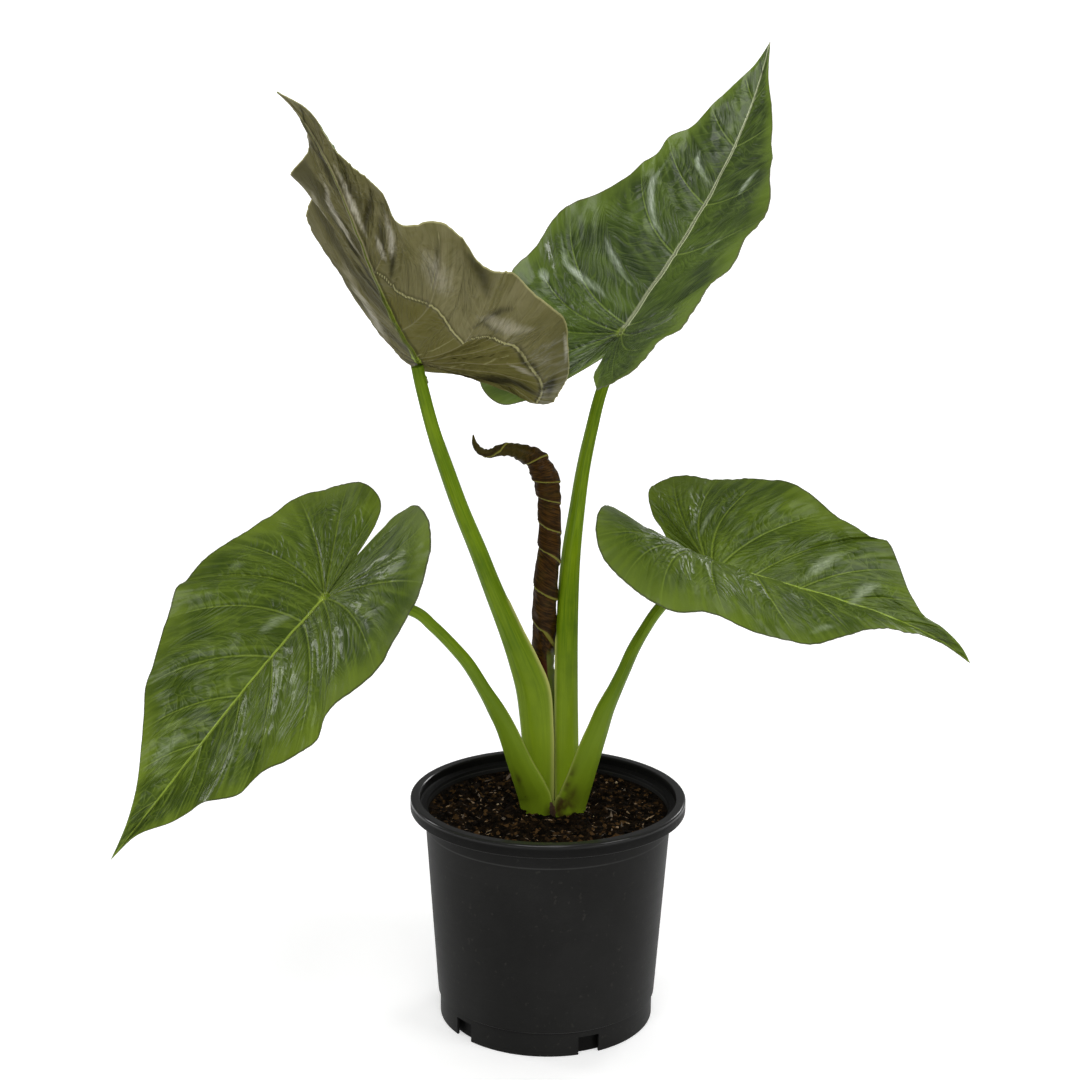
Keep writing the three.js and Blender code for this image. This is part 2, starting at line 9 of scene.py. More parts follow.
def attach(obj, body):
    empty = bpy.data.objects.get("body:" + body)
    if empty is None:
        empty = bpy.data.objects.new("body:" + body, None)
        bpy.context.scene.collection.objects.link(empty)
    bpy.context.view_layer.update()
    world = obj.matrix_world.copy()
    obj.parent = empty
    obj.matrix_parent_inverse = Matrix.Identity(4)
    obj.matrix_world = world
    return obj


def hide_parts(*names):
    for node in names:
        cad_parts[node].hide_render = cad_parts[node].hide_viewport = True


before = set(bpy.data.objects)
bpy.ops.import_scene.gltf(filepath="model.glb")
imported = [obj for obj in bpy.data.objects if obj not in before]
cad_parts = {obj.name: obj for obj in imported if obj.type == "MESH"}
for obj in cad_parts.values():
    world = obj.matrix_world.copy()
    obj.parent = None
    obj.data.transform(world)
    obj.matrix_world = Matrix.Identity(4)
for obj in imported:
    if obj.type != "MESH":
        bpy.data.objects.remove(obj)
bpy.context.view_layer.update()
millimetre = 0.001
turnRound = 2 * math.pi


# Camera: the photograph's place, fitted to the ellipses of the pot's rim and foot

photoView = {
    "place": (-7.2, -1305.0, 650.0), "pitchDown": 13.35, "roll": 0.54, "focalPixels": 2000.0,
    "framePixels": 1080.0, "sensorWidth": 36.0, "nearest": 0.05, "farthest": 50.0,
}


def makeCamera(look):
    # Looks along +Y, pitched down, then rolled about its own axis
    pitch = math.radians(look["pitchDown"])
    roll = math.radians(look["roll"])
    forward = np.array([0.0, math.cos(pitch), -math.sin(pitch)])
    level = np.array([1.0, 0.0, 0.0])
    upright = np.cross(level, forward)
    right = level * math.cos(roll) + upright * math.sin(roll)
    up = upright * math.cos(roll) - level * math.sin(roll)
    data = bpy.data.cameras.new("photo_camera")
    data.sensor_fit = "HORIZONTAL"
    data.sensor_width = look["sensorWidth"]
    data.lens = look["sensorWidth"] * look["focalPixels"] / look["framePixels"]
    data.dof.use_dof = False
    data.clip_start = look["nearest"]
    data.clip_end = look["farthest"]
    camera = bpy.data.objects.new("photo_camera", data)
    place = [value * millimetre for value in look["place"]]
    columns = zip(right, up, -forward, place)
    camera.matrix_world = Matrix([list(row) for row in columns] + [[0, 0, 0, 1]])
    bpy.context.scene.collection.objects.link(camera)
    bpy.context.scene.camera = camera


makeCamera(photoView)
print("camera placed")


# Shader wires: sums on a wire add Math nodes, and every other node comes from Finish.node

class Wire:
    # A shader socket that takes part in sums
    def __init__(self, finish, socket):
        self.finish = finish
        self.socket = socket

    def maths(self, operation, *values):
        made = self.finish.node("ShaderNodeMath", {"operation": operation}, dict(enumerate(values)))
        return Wire(self.finish, made.outputs[0])

    def __add__(self, other):
        return self.maths("ADD", self, other)

    def __radd__(self, other):
        return self.maths("ADD", other, self)

    def __sub__(self, other):
        return self.maths("SUBTRACT", self, other)

    def __rsub__(self, other):
        return self.maths("SUBTRACT", other, self)

    def __mul__(self, other):
        return self.maths("MULTIPLY", self, other)

    def __rmul__(self, other):
        return self.maths("MULTIPLY", other, self)

    def size(self):
        return self.maths("ABSOLUTE", self)

    def root(self):
        return self.maths("SQRT", self)

    def fraction(self):
        return self.maths("FRACT", self)

    def most(self, other):
        return self.maths("MAXIMUM", self, other)


mixSockets = {"share": 0, "first": 6, "second": 7, "result": 2}
usualRoughness = 0.55


class Finish:
    # One procedural material. Its look is a dictionary of colours, as screen codes, of noises, as scale,
    # detail and roughness, of plain numbers, and of masks: a strength, the ends of a smooth rise and, where
    # it has one, those of a smooth fall.
    def __init__(self, name, look):
        self.look = look
        self.material = bpy.data.materials.new(name)
        self.material.use_nodes = True
        self.tree = self.material.node_tree
        self.tree.nodes.clear()
        self.coordinates = self.out(self.node("ShaderNodeTexCoord"), "Object")

    def node(self, kind, settings=None, sockets=None):
        made = self.tree.nodes.new(kind)
        for name, value in (settings or {}).items():
            setattr(made, name, value)
        for name, value in (sockets or {}).items():
            if isinstance(value, Wire):
                self.tree.links.new(value.socket, made.inputs[name])
            else:
                made.inputs[name].default_value = value
        return made

    def out(self, made, name):
        return Wire(self, made.outputs[name])

    def attributes(self, *names):
        made = [self.node("ShaderNodeAttribute", {"attribute_name": name}) for name in names]
        return [self.out(node, "Fac") for node in made]

    def stretched(self, name):
        # Object coordinates scaled unevenly, for a grain that runs one way
        sockets = {"Vector": self.coordinates, "Scale": self.look[name]}
        return self.out(self.node("ShaderNodeMapping", {}, sockets), "Vector")

    def vector(self, x, y, z=0.0):
        return self.out(self.node("ShaderNodeCombineXYZ", {}, {"X": x, "Y": y, "Z": z}), "Vector")

    def parts(self):
        made = self.node("ShaderNodeSeparateXYZ", {}, {"Vector": self.coordinates})
        return [self.out(made, axis) for axis in "XYZ"]

    def noise(self, name, along=None):
        scale, detail, rough = (*self.look[name], usualRoughness)[:3]
        sockets = {"Vector": along or self.coordinates, "Scale": scale, "Detail": detail, "Roughness": rough}
        return self.out(self.node("ShaderNodeTexNoise", {}, sockets), "Fac")

    def cells(self, name, feature="F1", along=None):
        sockets = {"Vector": along or self.coordinates, "Scale": self.look[name]}
        return self.out(self.node("ShaderNodeTexVoronoi", {"feature": feature}, sockets), "Distance")

    def ramp(self, value, low, high):
        # Smooth step of a value from low to high, as 0 to 1; it falls where low is the larger
        settings = {"interpolation_type": "SMOOTHSTEP"}
        sockets = {"Value": value, "From Min": low, "From Max": high}
        return self.out(self.node("ShaderNodeMapRange", settings, sockets), "Result")

    def mask(self, name, value):
        strength, low, high, *fall = self.look[name]
        made = self.ramp(value, low, high)
        if fall:
            made = made * self.ramp(value, fall[1], fall[0])
        return made if strength == 1 else made * strength

    def blend(self, share, first, second):
        # Each colour is a wire or the name of a colour in the look
        sockets = {mixSockets["share"]: share}
        for place, tint in (("first", first), ("second", second)):
            sockets[mixSockets[place]] = colour(self.look[tint]) if isinstance(tint, str) else tint
        return self.out(self.node("ShaderNodeMix", {"data_type": "RGBA"}, sockets), mixSockets["result"])

    def cover(self, base, *layers):
        # Lays one colour after another over the base, each by its share
        for share, tint in layers:
            base = self.blend(share, base, tint)
        return base

    def close(self, height=None, **sockets):
        # The shader itself, with a bump of a height in metres; base_color stands for the socket Base Color
        named = {}
        for name, value in sockets.items():
            named[name.replace("_", " ").title().replace("Ior", "IOR")] = value
        if height is not None:
            bump = self.node("ShaderNodeBump", {}, {"Height": height, "Distance": 1.0, "Strength": 1.0})
            named["Normal"] = self.out(bump, "Normal")
        shader = self.node("ShaderNodeBsdfPrincipled", {}, named)
        self.node("ShaderNodeOutputMaterial", {}, {"Surface": self.out(shader, "BSDF")})
        return self.material


def colour(code):
    # A screen colour such as #4a6a22 as the linear colour that shaders take
    screen = Color([int(code[i:i + 2], 16) / 255 for i in (1, 3, 5)])
    return (*screen.from_srgb_to_scene_linear(), 1.0)


# Shared shape work

def curveThrough(points, share):
    # Catmull-Rom curve through the points, at shares from 0 to 1
    points = np.asarray(points, dtype=float)
    last = len(points) - 1
    place = np.clip(share, 0.0, 1.0) * last
    index = np.minimum(np.floor(place).astype(int), last - 1)
    w = (place - index)[..., None]
    before = points[np.maximum(index - 1, 0)]
    start = points[index]
    end = points[index + 1]
    after = points[np.minimum(index + 2, last)]
    v0 = (end - before) / 2
    v1 = (after - start) / 2
    cubic = (2 * start - 2 * end + v0 + v1) * w + (3 * end - 3 * start - 2 * v0 - v1)
    return cubic * w * w + v0 * w + start


def unit(vectors):
    return vectors / np.linalg.norm(vectors, axis=-1, keepdims=True)


def bell(value, width):
    # 1 in the middle, falling to 1/e at the width
    return np.exp(-(value / width) ** 2)


def smoothStep(value, low, high, *fall):
    # 0 up to low and 1 from high on, eased between; a second pair of ends takes it back to 0
    share = np.clip((value - low) / (high - low), 0.0, 1.0)
    rise = share * share * (3 - 2 * share)
    return rise * (1 - smoothStep(value, *fall)) if fall else rise


waves = {"count": 9, "shortest": 0.6, "longest": 1.6}


def softNoise(x, y, size, seed):
    # Sum of seeded sine waves in random directions, between about -1 and 1
    draw = np.random.default_rng(seed)
    total = np.zeros(np.broadcast(x, y).shape)
    for _ in range(waves["count"]):
        angle = draw.uniform(0, turnRound)
        length = size * draw.uniform(waves["shortest"], waves["longest"])
        phase = draw.uniform(0, turnRound)
        total = total + np.sin((x * math.cos(angle) + y * math.sin(angle)) * turnRound / length + phase)
    return total / math.sqrt(2 * waves["count"])


def turned(first, second, angle):
    # Two coordinates turned together by an angle
    return first * np.cos(angle) - second * np.sin(angle), first * np.sin(angle) + second * np.cos(angle)


def roundAngles(count):
    return np.linspace(0, turnRound, count, endpoint=False)


def gridFaces(rows, columns, closedAcross=False):
    # Quads of a grid whose points are stored row by row
    across = columns if closedAcross else columns - 1
    i, j = np.meshgrid(np.arange(rows - 1), np.arange(across), indexing="ij")
    here = i * columns + j
    beside = i * columns + (j + 1) % columns
    return np.stack([here, beside, beside + columns, here + columns], axis=-1).reshape(-1, 4)


meshCare = {"mergeWithin": 2e-6, "flatWithin": 1e-7}


def makePiece(name, points, faces, material, attributes=None, sharpAngle=50.0, mend=True):
    # A mesh object from points in millimetres and faces, with its doubles merged
    mesh = bpy.data.meshes.new(name)
    points = np.asarray(points, dtype=float).reshape(-1, 3) * millimetre
    mesh.vertices.add(len(points))
    mesh.vertices.foreach_set("co", points.astype(np.float32).ravel())
    mesh.loops.add(faces.size)
    mesh.loops.foreach_set("vertex_index", faces.astype(np.int32).ravel())
    mesh.polygons.add(len(faces))
    mesh.polygons.foreach_set("loop_start", np.arange(0, faces.size, faces.shape[1], dtype=np.int32))
    mesh.update(calc_edges=True)
    for label, values in (attributes or {}).items():
        layer = mesh.attributes.new(label, "FLOAT", "POINT")
        layer.data.foreach_set("value", np.asarray(values, dtype=np.float32).ravel())
    if mend:
        work = bmesh.new()
        work.from_mesh(mesh)
        bmesh.ops.remove_doubles(work, verts=work.verts, dist=meshCare["mergeWithin"])
        bmesh.ops.dissolve_degenerate(work, edges=work.edges, dist=meshCare["flatWithin"])
        work.to_mesh(mesh)
        work.free()
    mesh.polygons.foreach_set("use_smooth", np.ones(len(mesh.polygons), dtype=bool))
    mesh.set_sharp_from_angle(angle=math.radians(sharpAngle))
    mesh.materials.append(material)
    piece = bpy.data.objects.new(name, mesh)
    bpy.context.scene.collection.objects.link(piece)
    return piece


def seat(piece, node):
    # Puts a piece in the place of a CAD node
    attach(piece, "root")
    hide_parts(node)


def seatBeside(piece):
    # Adds a piece that replaces no node
    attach(piece, "root")


# Leaf blades. In the flat blade x runs across it and y along the midrib from the stalk's joint. An outline
# runs from the tip round the lobe to the notch, a vein number from 0 at the tip to 11 at the notch. Two
# numbers in round brackets are the ends of a smooth rise, and two more after them those of a smooth fall.

bladeStyle = {
    "columnsPerVein": 20, "stopsPerSide": 76, "stopCrowding": 0.9, "normalStep": 0.5, "bendSteps": 8,
    "thickness": 0.9, "marginThickness": 0.5, "marginThins": (0.8, 1.0), "curlLength": 100.0,
    "keelDepth": 1.8, "keelStart": 5.0, "keelRise": 40.0, "keelWidth": 2.3, "farAway": 50.0,
    "ribTaper": (0.3, 1.25), "pillowReach": [0, 1, 3, 6, 9, 11],
    "pillowShare": [0.15, 0.4, 0.8, 1, 0.8, 0.3], "pillowPower": 0.6, "pillowFall": 0.9,
    "marginPower": 2.5, "endFade": 1.6, "lastVein": 11, "rightVeins": 20, "strokeRuns": 12,
    "strokeEnd": 0.4, "bossSize": 5.0, "pleatsPerVein": 6.0, "pleatLength": 2.0, "pleatGap": (0.0, 4.0),
    "pleatReach": (0.0, 0.3), "crumpleSize": 20.0, "crumpleReach": (0.1, 0.4, 0.85, 1.0),
    "crumpleLevel": 0.6, "crumpleSoftness": 0.01, "beyondCrease": 0.15, "otherHalf": 0.4,
    "creaseSharpness": 0.001, "dullEdge": (0.0, 0.05), "dullVein": (2.9, 3.6), "rungSpacing": 8.5,
    "rungSlant": 0.75, "rungBend": 0.02, "rungHeight": 0.3, "rungPower": 0.7, "rungPhase": 0.37,
    "rungWander": 0.5, "rungWanderSize": 34.0, "rungGap": (0.5, 4.0), "rungReach": (0.02, 0.1, 0.8, 0.97),
    "nearJoint": 1.5, "nearSize": 40.0, "ribHeight": 0.7, "ribWidth": 0.9, "ribFades": (0.5, 1.0),
    "furrowDepth": 0.55, "furrowWidth": 1.1, "dimpleHeight": 0.55, "dimpleSize": 26.0,
    "dimpleGap": (0.0, 6.0),
}

veinBow = [0, 0.04, 0.06, 0.08, 0.11, 0.13, 0.12, 0.09, 0.05, 0.02, 0, 0]
upperLeftBow = [0, 0.04, 0.06, 0.08, 0.1, 0.1, 0.06, -0.01, -0.085, -0.142, -0.078, 0]

# Colours of the leaves. In each set the two pale grey greens that follow boss are painted highlight colours.
greenUpper = {
    "deep": "#34470b", "mid": "#536814", "light": "#708624", "margin": "#768a24", "vein": "#8ba03e",
    "rib": "#a2ba44", "boss": "#abc344", "paintedGleam": "#9aa884", "shine": "#b9c4a8", "under": "#5a6430",
    "underVein": "#7d8446", "underRib": "#8fa040", "underDeep": "#454d22", "underFlat": "#5a6430",
    "edge": "#3d451c",
}
darkUpper = {
    "deep": "#273711", "mid": "#495e19", "light": "#667e26", "margin": "#6f8628", "vein": "#889e48",
    "rib": "#dbe2b4", "boss": "#93a838", "paintedGleam": "#a9b79a", "shine": "#cdd6c6", "under": "#545330",
    "underVein": "#7a7a46", "underRib": "#8fa040", "underDeep": "#403f20", "underFlat": "#545330",
    "edge": "#5c5f3a",
}
bronzeUnder = {
    "deep": "#304114", "mid": "#465a18", "light": "#586e22", "margin": "#667d25", "vein": "#889e48",
    "rib": "#a8b866", "boss": "#93a838", "paintedGleam": "#a29d88", "shine": "#c3bfae", "under": "#625e37",
    "underVein": "#857f5a", "underRib": "#7c8c26", "underDeep": "#312e15", "underFlat": "#615d29",
    "edge": "#a5a16f",
}

# What a leaf has where its own table says nothing. A table gives where the stalk joins the leaf, its turn
# in degrees, its bend in radians, and its soft strokes of painted highlight, painted shade and duller skin,
# each a line, a width in millimetres and a strength.

usualLeaf = {
    "size": 1.0, "pillow": 5.0, "folds": [], "streaks": 0.4, "ribSplit": 0.0, "bow": [veinBow, veinBow],
    "seen": "upper", "matts": [], "lines": [],
}

leaves = {
    "lower_left": {
        "junction": [-146.3, -52, 312.6], "heading": -122.8, "rise": -40.5, "roll": 12.7,
        "length": 213.0, "arch": [-0.231, 0.142, 0.402], "fold": [0.127, 0.312], "curl": [-0.013, -0.226],
        "twist": 0.741, "veinEnd": [0, 0.06, 0.13, 0.19, 0.25, 0.36, 0.455, 0.56, 0.68, 0.77, 0.88, 1],
        "veinStart": [1, 0.78, 0.57, 0.39, 0.24, 0.1, 0.01, 0, 0, 0, 0, 0],
        "apex": [4, -34], "seed": 11, "streaks": 0.5, "coat": 0.16, "specular": 0.2, "marginShare": 0.45,
        "paintedSheens": [
            [[[17, 154], [16, 139], [13, 120]], 6, 0.8],
            [[[-50, 94], [-54, 79]], 5, 0.7],
            [[[-17, 121], [-18, 110]], 4, 0.7],
            [[[19, 48], [16, 32], [8, 18]], 6, 0.9],
            [[[77, 23], [67, 11]], 6, 0.7],
            [[[-63, -32], [-62, -49]], 7, 0.5],
            [[[-54, -11], [-66, -21]], 6, 0.5],
        ],
        "matts": [[[[-60, -66], [-84, -40], [-88, 10], [-70, 50]], 26, 1.0]],
        "paintedShades": [[[[-60, -60], [-84, -30], [-80, 20]], 22, 0.15]],
        "liftRight": [0, 0, 0, -1, 2, 2, -1, -3, 3, 2, -1, 4, -2, 1, 0, 0, 1, -3, -1, 2, -2, -1, 0],
        "liftLeft": [0, -1, 1, 2, -3, -2, 4, 4, -2, 0, 1, -3, -1, 1, 0, 3, 0, 0, 3, 1, 0, 2, 0],
        "colours": greenUpper, "gloss": 0.3, "rungs": 0.6, "ribSplit": 0.2, "ribReach": 1.7,
        "pleat": 0.35, "crumple": 0.25,
        "right": [[7, 188], [18, 164], [32, 143], [50, 120], [59, 102], [76, 75], [88, 54], [93, 40],
                  [96, 18], [96, -5], [94, -35], [90, -60], [72, -76], [45, -81], [23, -75], [10, -59]],
        "left": [[-3, 193], [-15, 175], [-27, 153], [-44, 136], [-51, 115], [-67, 95], [-74, 78],
                 [-73, 59], [-87, 37], [-97, 12], [-101, -20], [-94, -46], [-84, -71], [-45, -80],
                 [-17, -75], [-1, -63]],
    },
    "lower_right": {
        "junction": [104.4, -8.8, 328.4], "heading": 110.4, "rise": -13.1, "roll": 9.0,
        "length": 185.0, "arch": [0.208, -0.598, 0.588], "fold": [0.399, 0.614], "curl": [-1.432, 0.04],
        "twist": -0.587, "veinEnd": [0, 0.1, 0.2, 0.275, 0.37, 0.49, 0.61, 0.68, 0.76, 0.84, 0.92, 1],
        "veinStart": [1, 0.72, 0.5, 0.345, 0.175, 0.05, 0.02, 0, 0, 0, 0, 0],
        "apex": [-6, -31], "seed": 23, "coat": 0.15, "specular": 0.18, "marginShare": 0.3,
        "paintedSheens": [
            [[[-12, -22], [-35, -24], [-63, -26]], 3, 0.7],
            [[[-19, -13], [-37, -16], [-61, -16]], 3, 0.9],
            [[[-36, -1], [-67, 1]], 4, 0.6],
            [[[-47, 23], [-67, 26], [-79, 32]], 4, 0.7],
            [[[-5, 64], [-23, 73], [-37, 86]], 6, 1.0],
            [[[11, 97], [-13, 105], [-20, 115]], 6, 1.0],
            [[[64, 85], [51, 93], [41, 103]], 4, 0.8],
        ],
        "matts": [[[[10, -60], [50, -58], [76, -30], [84, 10]], 24, 1.0]],
        "paintedShades": [[[[40, -60], [74, -40], [80, 0]], 26, 0.45], [[[20, -30], [40, 10], [50, 40]], 14, 0.3]],
        "liftRight": [0, 6, 3, 2, 1, -1, -2, 0, 1, 0, 3, 0, 1, -2, -2, -3, 1, -2, -3, 1, 6, 9, 5],
        "liftLeft": [0, 2, 2, -1, 1, -3, -3, 2, 0, 4, -2, 1, -3, -2, -1, 3, 3, 0, -2, -5, -4, 2, 0],
        "colours": greenUpper, "gloss": 0.28, "rungs": 1.0, "ribReach": 2.6,
        "pleat": 0.45, "crumple": 0.4,
        "right": [[5, 170], [8, 155], [17, 141], [29, 121], [49, 107], [67, 91], [74, 70], [80, 45],
                  [82, 24], [94, 5], [95, -16], [92, -39], [82, -59], [50, -71], [21, -70], [4, -50]],
        "left": [[-5, 174], [-9, 158], [-12, 143], [-24, 130], [-41, 117], [-53, 106], [-53, 94],
                 [-64, 73], [-80, 49], [-95, 18], [-96, -14], [-85, -42], [-75, -62], [-56, -70],
                 [-33, -56], [-18, -43]],
    },
    "upper_right": {
        "junction": [47.7, 63.3, 471.8], "size": 1.024, "heading": 45.8, "rise": 41.9, "roll": 4.2,
        "length": 245.0, "arch": [0.191, 0.348, 0.232], "fold": [0.363, 0.289], "curl": [-0.033, 0.064],
        "twist": -0.314, "veinEnd": [0, 0.075, 0.15, 0.255, 0.335, 0.47, 0.555, 0.65, 0.75, 0.85, 0.93, 1],
        "veinStart": [1, 0.82, 0.67, 0.47, 0.29, 0.03, 0, 0, 0, 0, 0, 0],
        "pillow": 6.0, "apex": [0, -22], "seed": 37, "coat": 0.3, "specular": 0.3, "marginShare": 0.7,
        "paintedSheens": [
            [[[-88, 61], [-70, 38], [-55, 32], [-36, 26], [-19, 18]], 4, 1.15],
            [[[-61, 73], [-47, 59], [-32, 48], [-6, 31]], 3, 1.15],
            [[[-40, 142], [-44, 123], [-38, 106], [-25, 88], [-6, 76]], 3.5, 1.15],
            [[[-23, 156], [-19, 143], [-4, 131]], 3, 1.1],
            [[[37, 113], [41, 127], [47, 139]], 5, 1.1],
            [[[44, 57], [45, 70], [54, 78]], 5, 0.8],
            [[[81, 45], [74, 77], [77, 95]], 5, 0.4],
            [[[-90, 30], [-76, 21]], 5, 1.1],
            [[[-23, -36], [-20, -23], [-12, -9]], 4, 0.7],
        ],
        "paintedShades": [[[[-92, -20], [-70, -62], [-40, -66]], 20, 0.6]],
        "liftRight": [0, 0, 1, 1, -2, 0, 4, 0, -3, 1, -1, 3, 0, -3, 1, -2, -1, 0, -1, 3, 3, 1, 0],
        "liftLeft": [0, 0, 2, -2, 2, -5, 2, -3, 3, -5, 4, 2, -6, 3, -3, 3, -2, 2, -1, -4, 0, 2, 0],
        "colours": darkUpper, "gloss": 0.3, "rungs": 0.3, "ribSplit": 0.5, "ribReach": 2.6,
        "pleat": 0.5, "crumple": 0.3,
        "right": [[6, 222], [19, 199], [38, 164], [59, 138], [76, 109], [83, 85], [88, 64], [97, 34],
                  [102, 8], [100, -15], [102, -42], [98, -66], [78, -76], [55, -72], [29, -55], [8, -38]],
        "left": [[-8, 225], [-22, 202], [-32, 180], [-45, 162], [-52, 144], [-60, 124], [-78, 102],
                 [-90, 81], [-100, 58], [-105, 24], [-94, -7], [-91, -39], [-78, -68], [-50, -82],
                 [-30, -68], [-10, -41]],
    },
    "upper_left": {
        "junction": [-88, -15.1, 462.5], "heading": -160.2, "rise": 37.0, "roll": 11.1,
        "length": 263.0, "arch": [0.56, -0.83, 0.78], "fold": [0.31, 0.18], "curl": [0.46, 0.61],
        "twist": 0.04, "veinEnd": [0, 0.08, 0.155, 0.235, 0.355, 0.5, 0.6, 0.68, 0.76, 0.825, 0.92, 1],
        "veinStart": [1, 0.75, 0.56, 0.36, 0.14, 0.01, 0, 0, 0, 0, 0, 0], "bow": [veinBow, upperLeftBow],
        "apex": [0, -14], "seed": 53, "streaks": 0.5, "coat": 0.12, "specular": 0.08,
        "marginShare": 0.5, "seen": "under",
        "paintedShades": [
            [[[23, 129], [14, 112], [6, 86], [-1, 69]], 3.2, 1.4],
            [[[28, 91], [9, 74], [2, 68]], 3.2, 1.3],
            [[[0, 211], [7, 190], [6, 175]], 2.4, 1.1],
            [[[-7, 185], [-8, 165], [-7, 142]], 3.2, 0.8],
            [[[-20, 167], [-11, 147], [-3, 127]], 2.4, 1.1],
            [[[-19, 146], [-14, 126], [-11, 105]], 2.4, 1.0],
            [[[-22, 129], [-15, 105], [-12, 94]], 1.9, 1.1],
            [[[-61, 106], [-67, 91], [-66, 68]], 4.8, 1.0],
            [[[-49, 46], [-59, 48], [-70, 50], [-78, 48]], 2.1, 1.1],
            [[[-56, 49], [-61, 39], [-67, 32]], 1.6, 0.8],
            [[[-73, 14], [-70, 4], [-70, -12], [-74, -18], [-70, -41]], 1.9, 1.1],
            [[[-17, -16], [-39, -30], [-57, -45], [-64, -61]], 4.8, 1.3],
            [[[-66, -54], [-75, -49], [-68, -69]], 4.8, 1.4],
            [[[-50, 128], [-44, 107], [-36, 87]], 1.9, 0.8],
        ],
        "lines": [
            [[-5, -7], [-34, -6], [-63, 5]],
            [[0, 5], [-24, 25], [-37, 38]],
            [[-50, 128], [-44, 107], [-36, 87], [-32, 76]],
        ],
        "paintedSheens": [
            [[[21, 168], [22, 143], [16, 122], [3, 101]], 4, 1.3],
            [[[32, 150], [34, 130], [24, 108]], 4, 1.1],
            [[[46, 73], [40, 40], [40, 0], [60, -60]], 14, 1.2],
            [[[12, 215], [21, 186]], 4, 1.1],
            [[[-3, 194], [-4, 165], [-4, 146], [-5, 123]], 3, 1.3],
            [[[-11, 131], [-11, 103]], 3, 1.1],
            [[[-23, 154], [-20, 125], [-14, 105]], 3.5, 1.2],
            [[[-38, 122], [-41, 98], [-46, 72]], 12, 0.85],
            [[[-72, 8], [-80, -16], [-78, -40]], 8, 0.7],
            [[[-54, 58], [-69, 37], [-88, 20]], 8, 0.95],
            [[[-100, 2], [-97, -20], [-89, -45]], 2.5, 1.3],
            [[[-59, 0], [-65, -20], [-72, -31]], 4, 1.0],
        ],
        "liftRight": [0, 4, 5, 4, 4, 6, 0, 3, -3, -4, 0, 0, 0, 0, 0, 0, 0, 0, 0, -2, 1, 1, 0],
        "liftLeft": [0, 0, 0, -3, -2, 0, 0, -3, 1, 2, -5, 3, 0, 0, 3, 3, 1, -2, -4, -1, 4, 3, 0],
        "folds": [[1, 0.222, 0.035, -11], [1, 0.31, 0.05, 4]],
        "creaseHeight": 9.0, "creaseVein": [2.9, 3.4, 4, 5, 6, 7, 9, 11],
        "creaseAt": [0, 0.27, 0.44, 0.45, 0.65, 0.7, 0.86, 0.95],
        "creaseWidth": [0.05, 0.25, 0.42, 0.4, 0.4, 0.4, 0.2, 0.1],
        "creaseShare": [0, 0.6, 1, 1, 1, 1, 0.8, 0],
        "colours": bronzeUnder, "gloss": 0.32, "rungs": 1.2, "ribReach": 1.6,
        "pleat": 1.0, "crumple": 1.3,
        "right": [[7, 238], [10, 215], [26, 184], [42, 158], [58, 130], [74, 100], [88, 72], [97, 42],
                  [104, 12], [106, -20], [100, -54], [86, -82], [66, -96], [42, -92], [24, -68], [10, -36]],
        "left": [[-8, 242], [-9, 216], [-14, 190], [-25, 167], [-30, 142], [-50, 137], [-61, 121],
                 [-68, 100], [-82, 82], [-92, 56], [-104, 16], [-97, -26], [-85, -62], [-61, -86],
                 [-50, -62], [-25, -23]],
    },
}


def bendAlong(angleAt, distance):
    # Sums of sine and cosine of an angle over a distance, by midpoints: the rise and the run of a bent line
    steps = bladeStyle["bendSteps"]
    angles = [angleAt(distance * (i + 0.5) / steps) for i in range(steps)]
    return sum(np.sin(angles)) * distance / steps, sum(np.cos(angles)) * distance / steps


def bladeAxes(leaf):
    # Ahead along the midrib, across to the right half, and up out of the upper face
    heading, rise, roll = [math.radians(leaf[name]) for name in ("heading", "rise", "roll")]
    ahead = np.array([math.sin(heading) * math.cos(rise), math.cos(heading) * math.cos(rise), math.sin(rise)])
    level = np.array([math.cos(heading), -math.sin(heading), 0.0])
    across = level * math.cos(roll) + np.cross(ahead, level) * -math.sin(roll)
    return ahead, across, np.cross(across, ahead)


def bentBlade(leaf, x, y):
    # The midrib arches by its pitch, each half lifts by fold and curl, the section turns by twist to the tip
    ahead, across, up = bladeAxes(leaf)
    arch = leaf["arch"]

    def pitchAt(q):
        share = q / leaf["length"]
        return np.where(q > 0, arch[0] * share + arch[1] * share ** 3, arch[2] * share)

    fold = np.where(x > 0, *leaf["fold"])
    curl = np.where(x > 0, *leaf["curl"]) / bladeStyle["curlLength"]
    spineUp, spineAlong = bendAlong(pitchAt, y)
    high, wide = bendAlong(lambda q: fold + curl * q, np.abs(x))
    turn = leaf["twist"] * y / leaf["length"]
    out = np.sign(x) * wide
    u = out * np.cos(turn) - high * np.sin(turn)
    w = out * np.sin(turn) + high * np.cos(turn)
    tilt = pitchAt(y)
    along = spineAlong - w * np.sin(tilt)
    lift = spineUp + w * np.cos(tilt)
    reachOut = u[..., None] * across + along[..., None] * ahead + lift[..., None] * up
    return np.array(leaf["junction"]) + leaf["size"] * reachOut


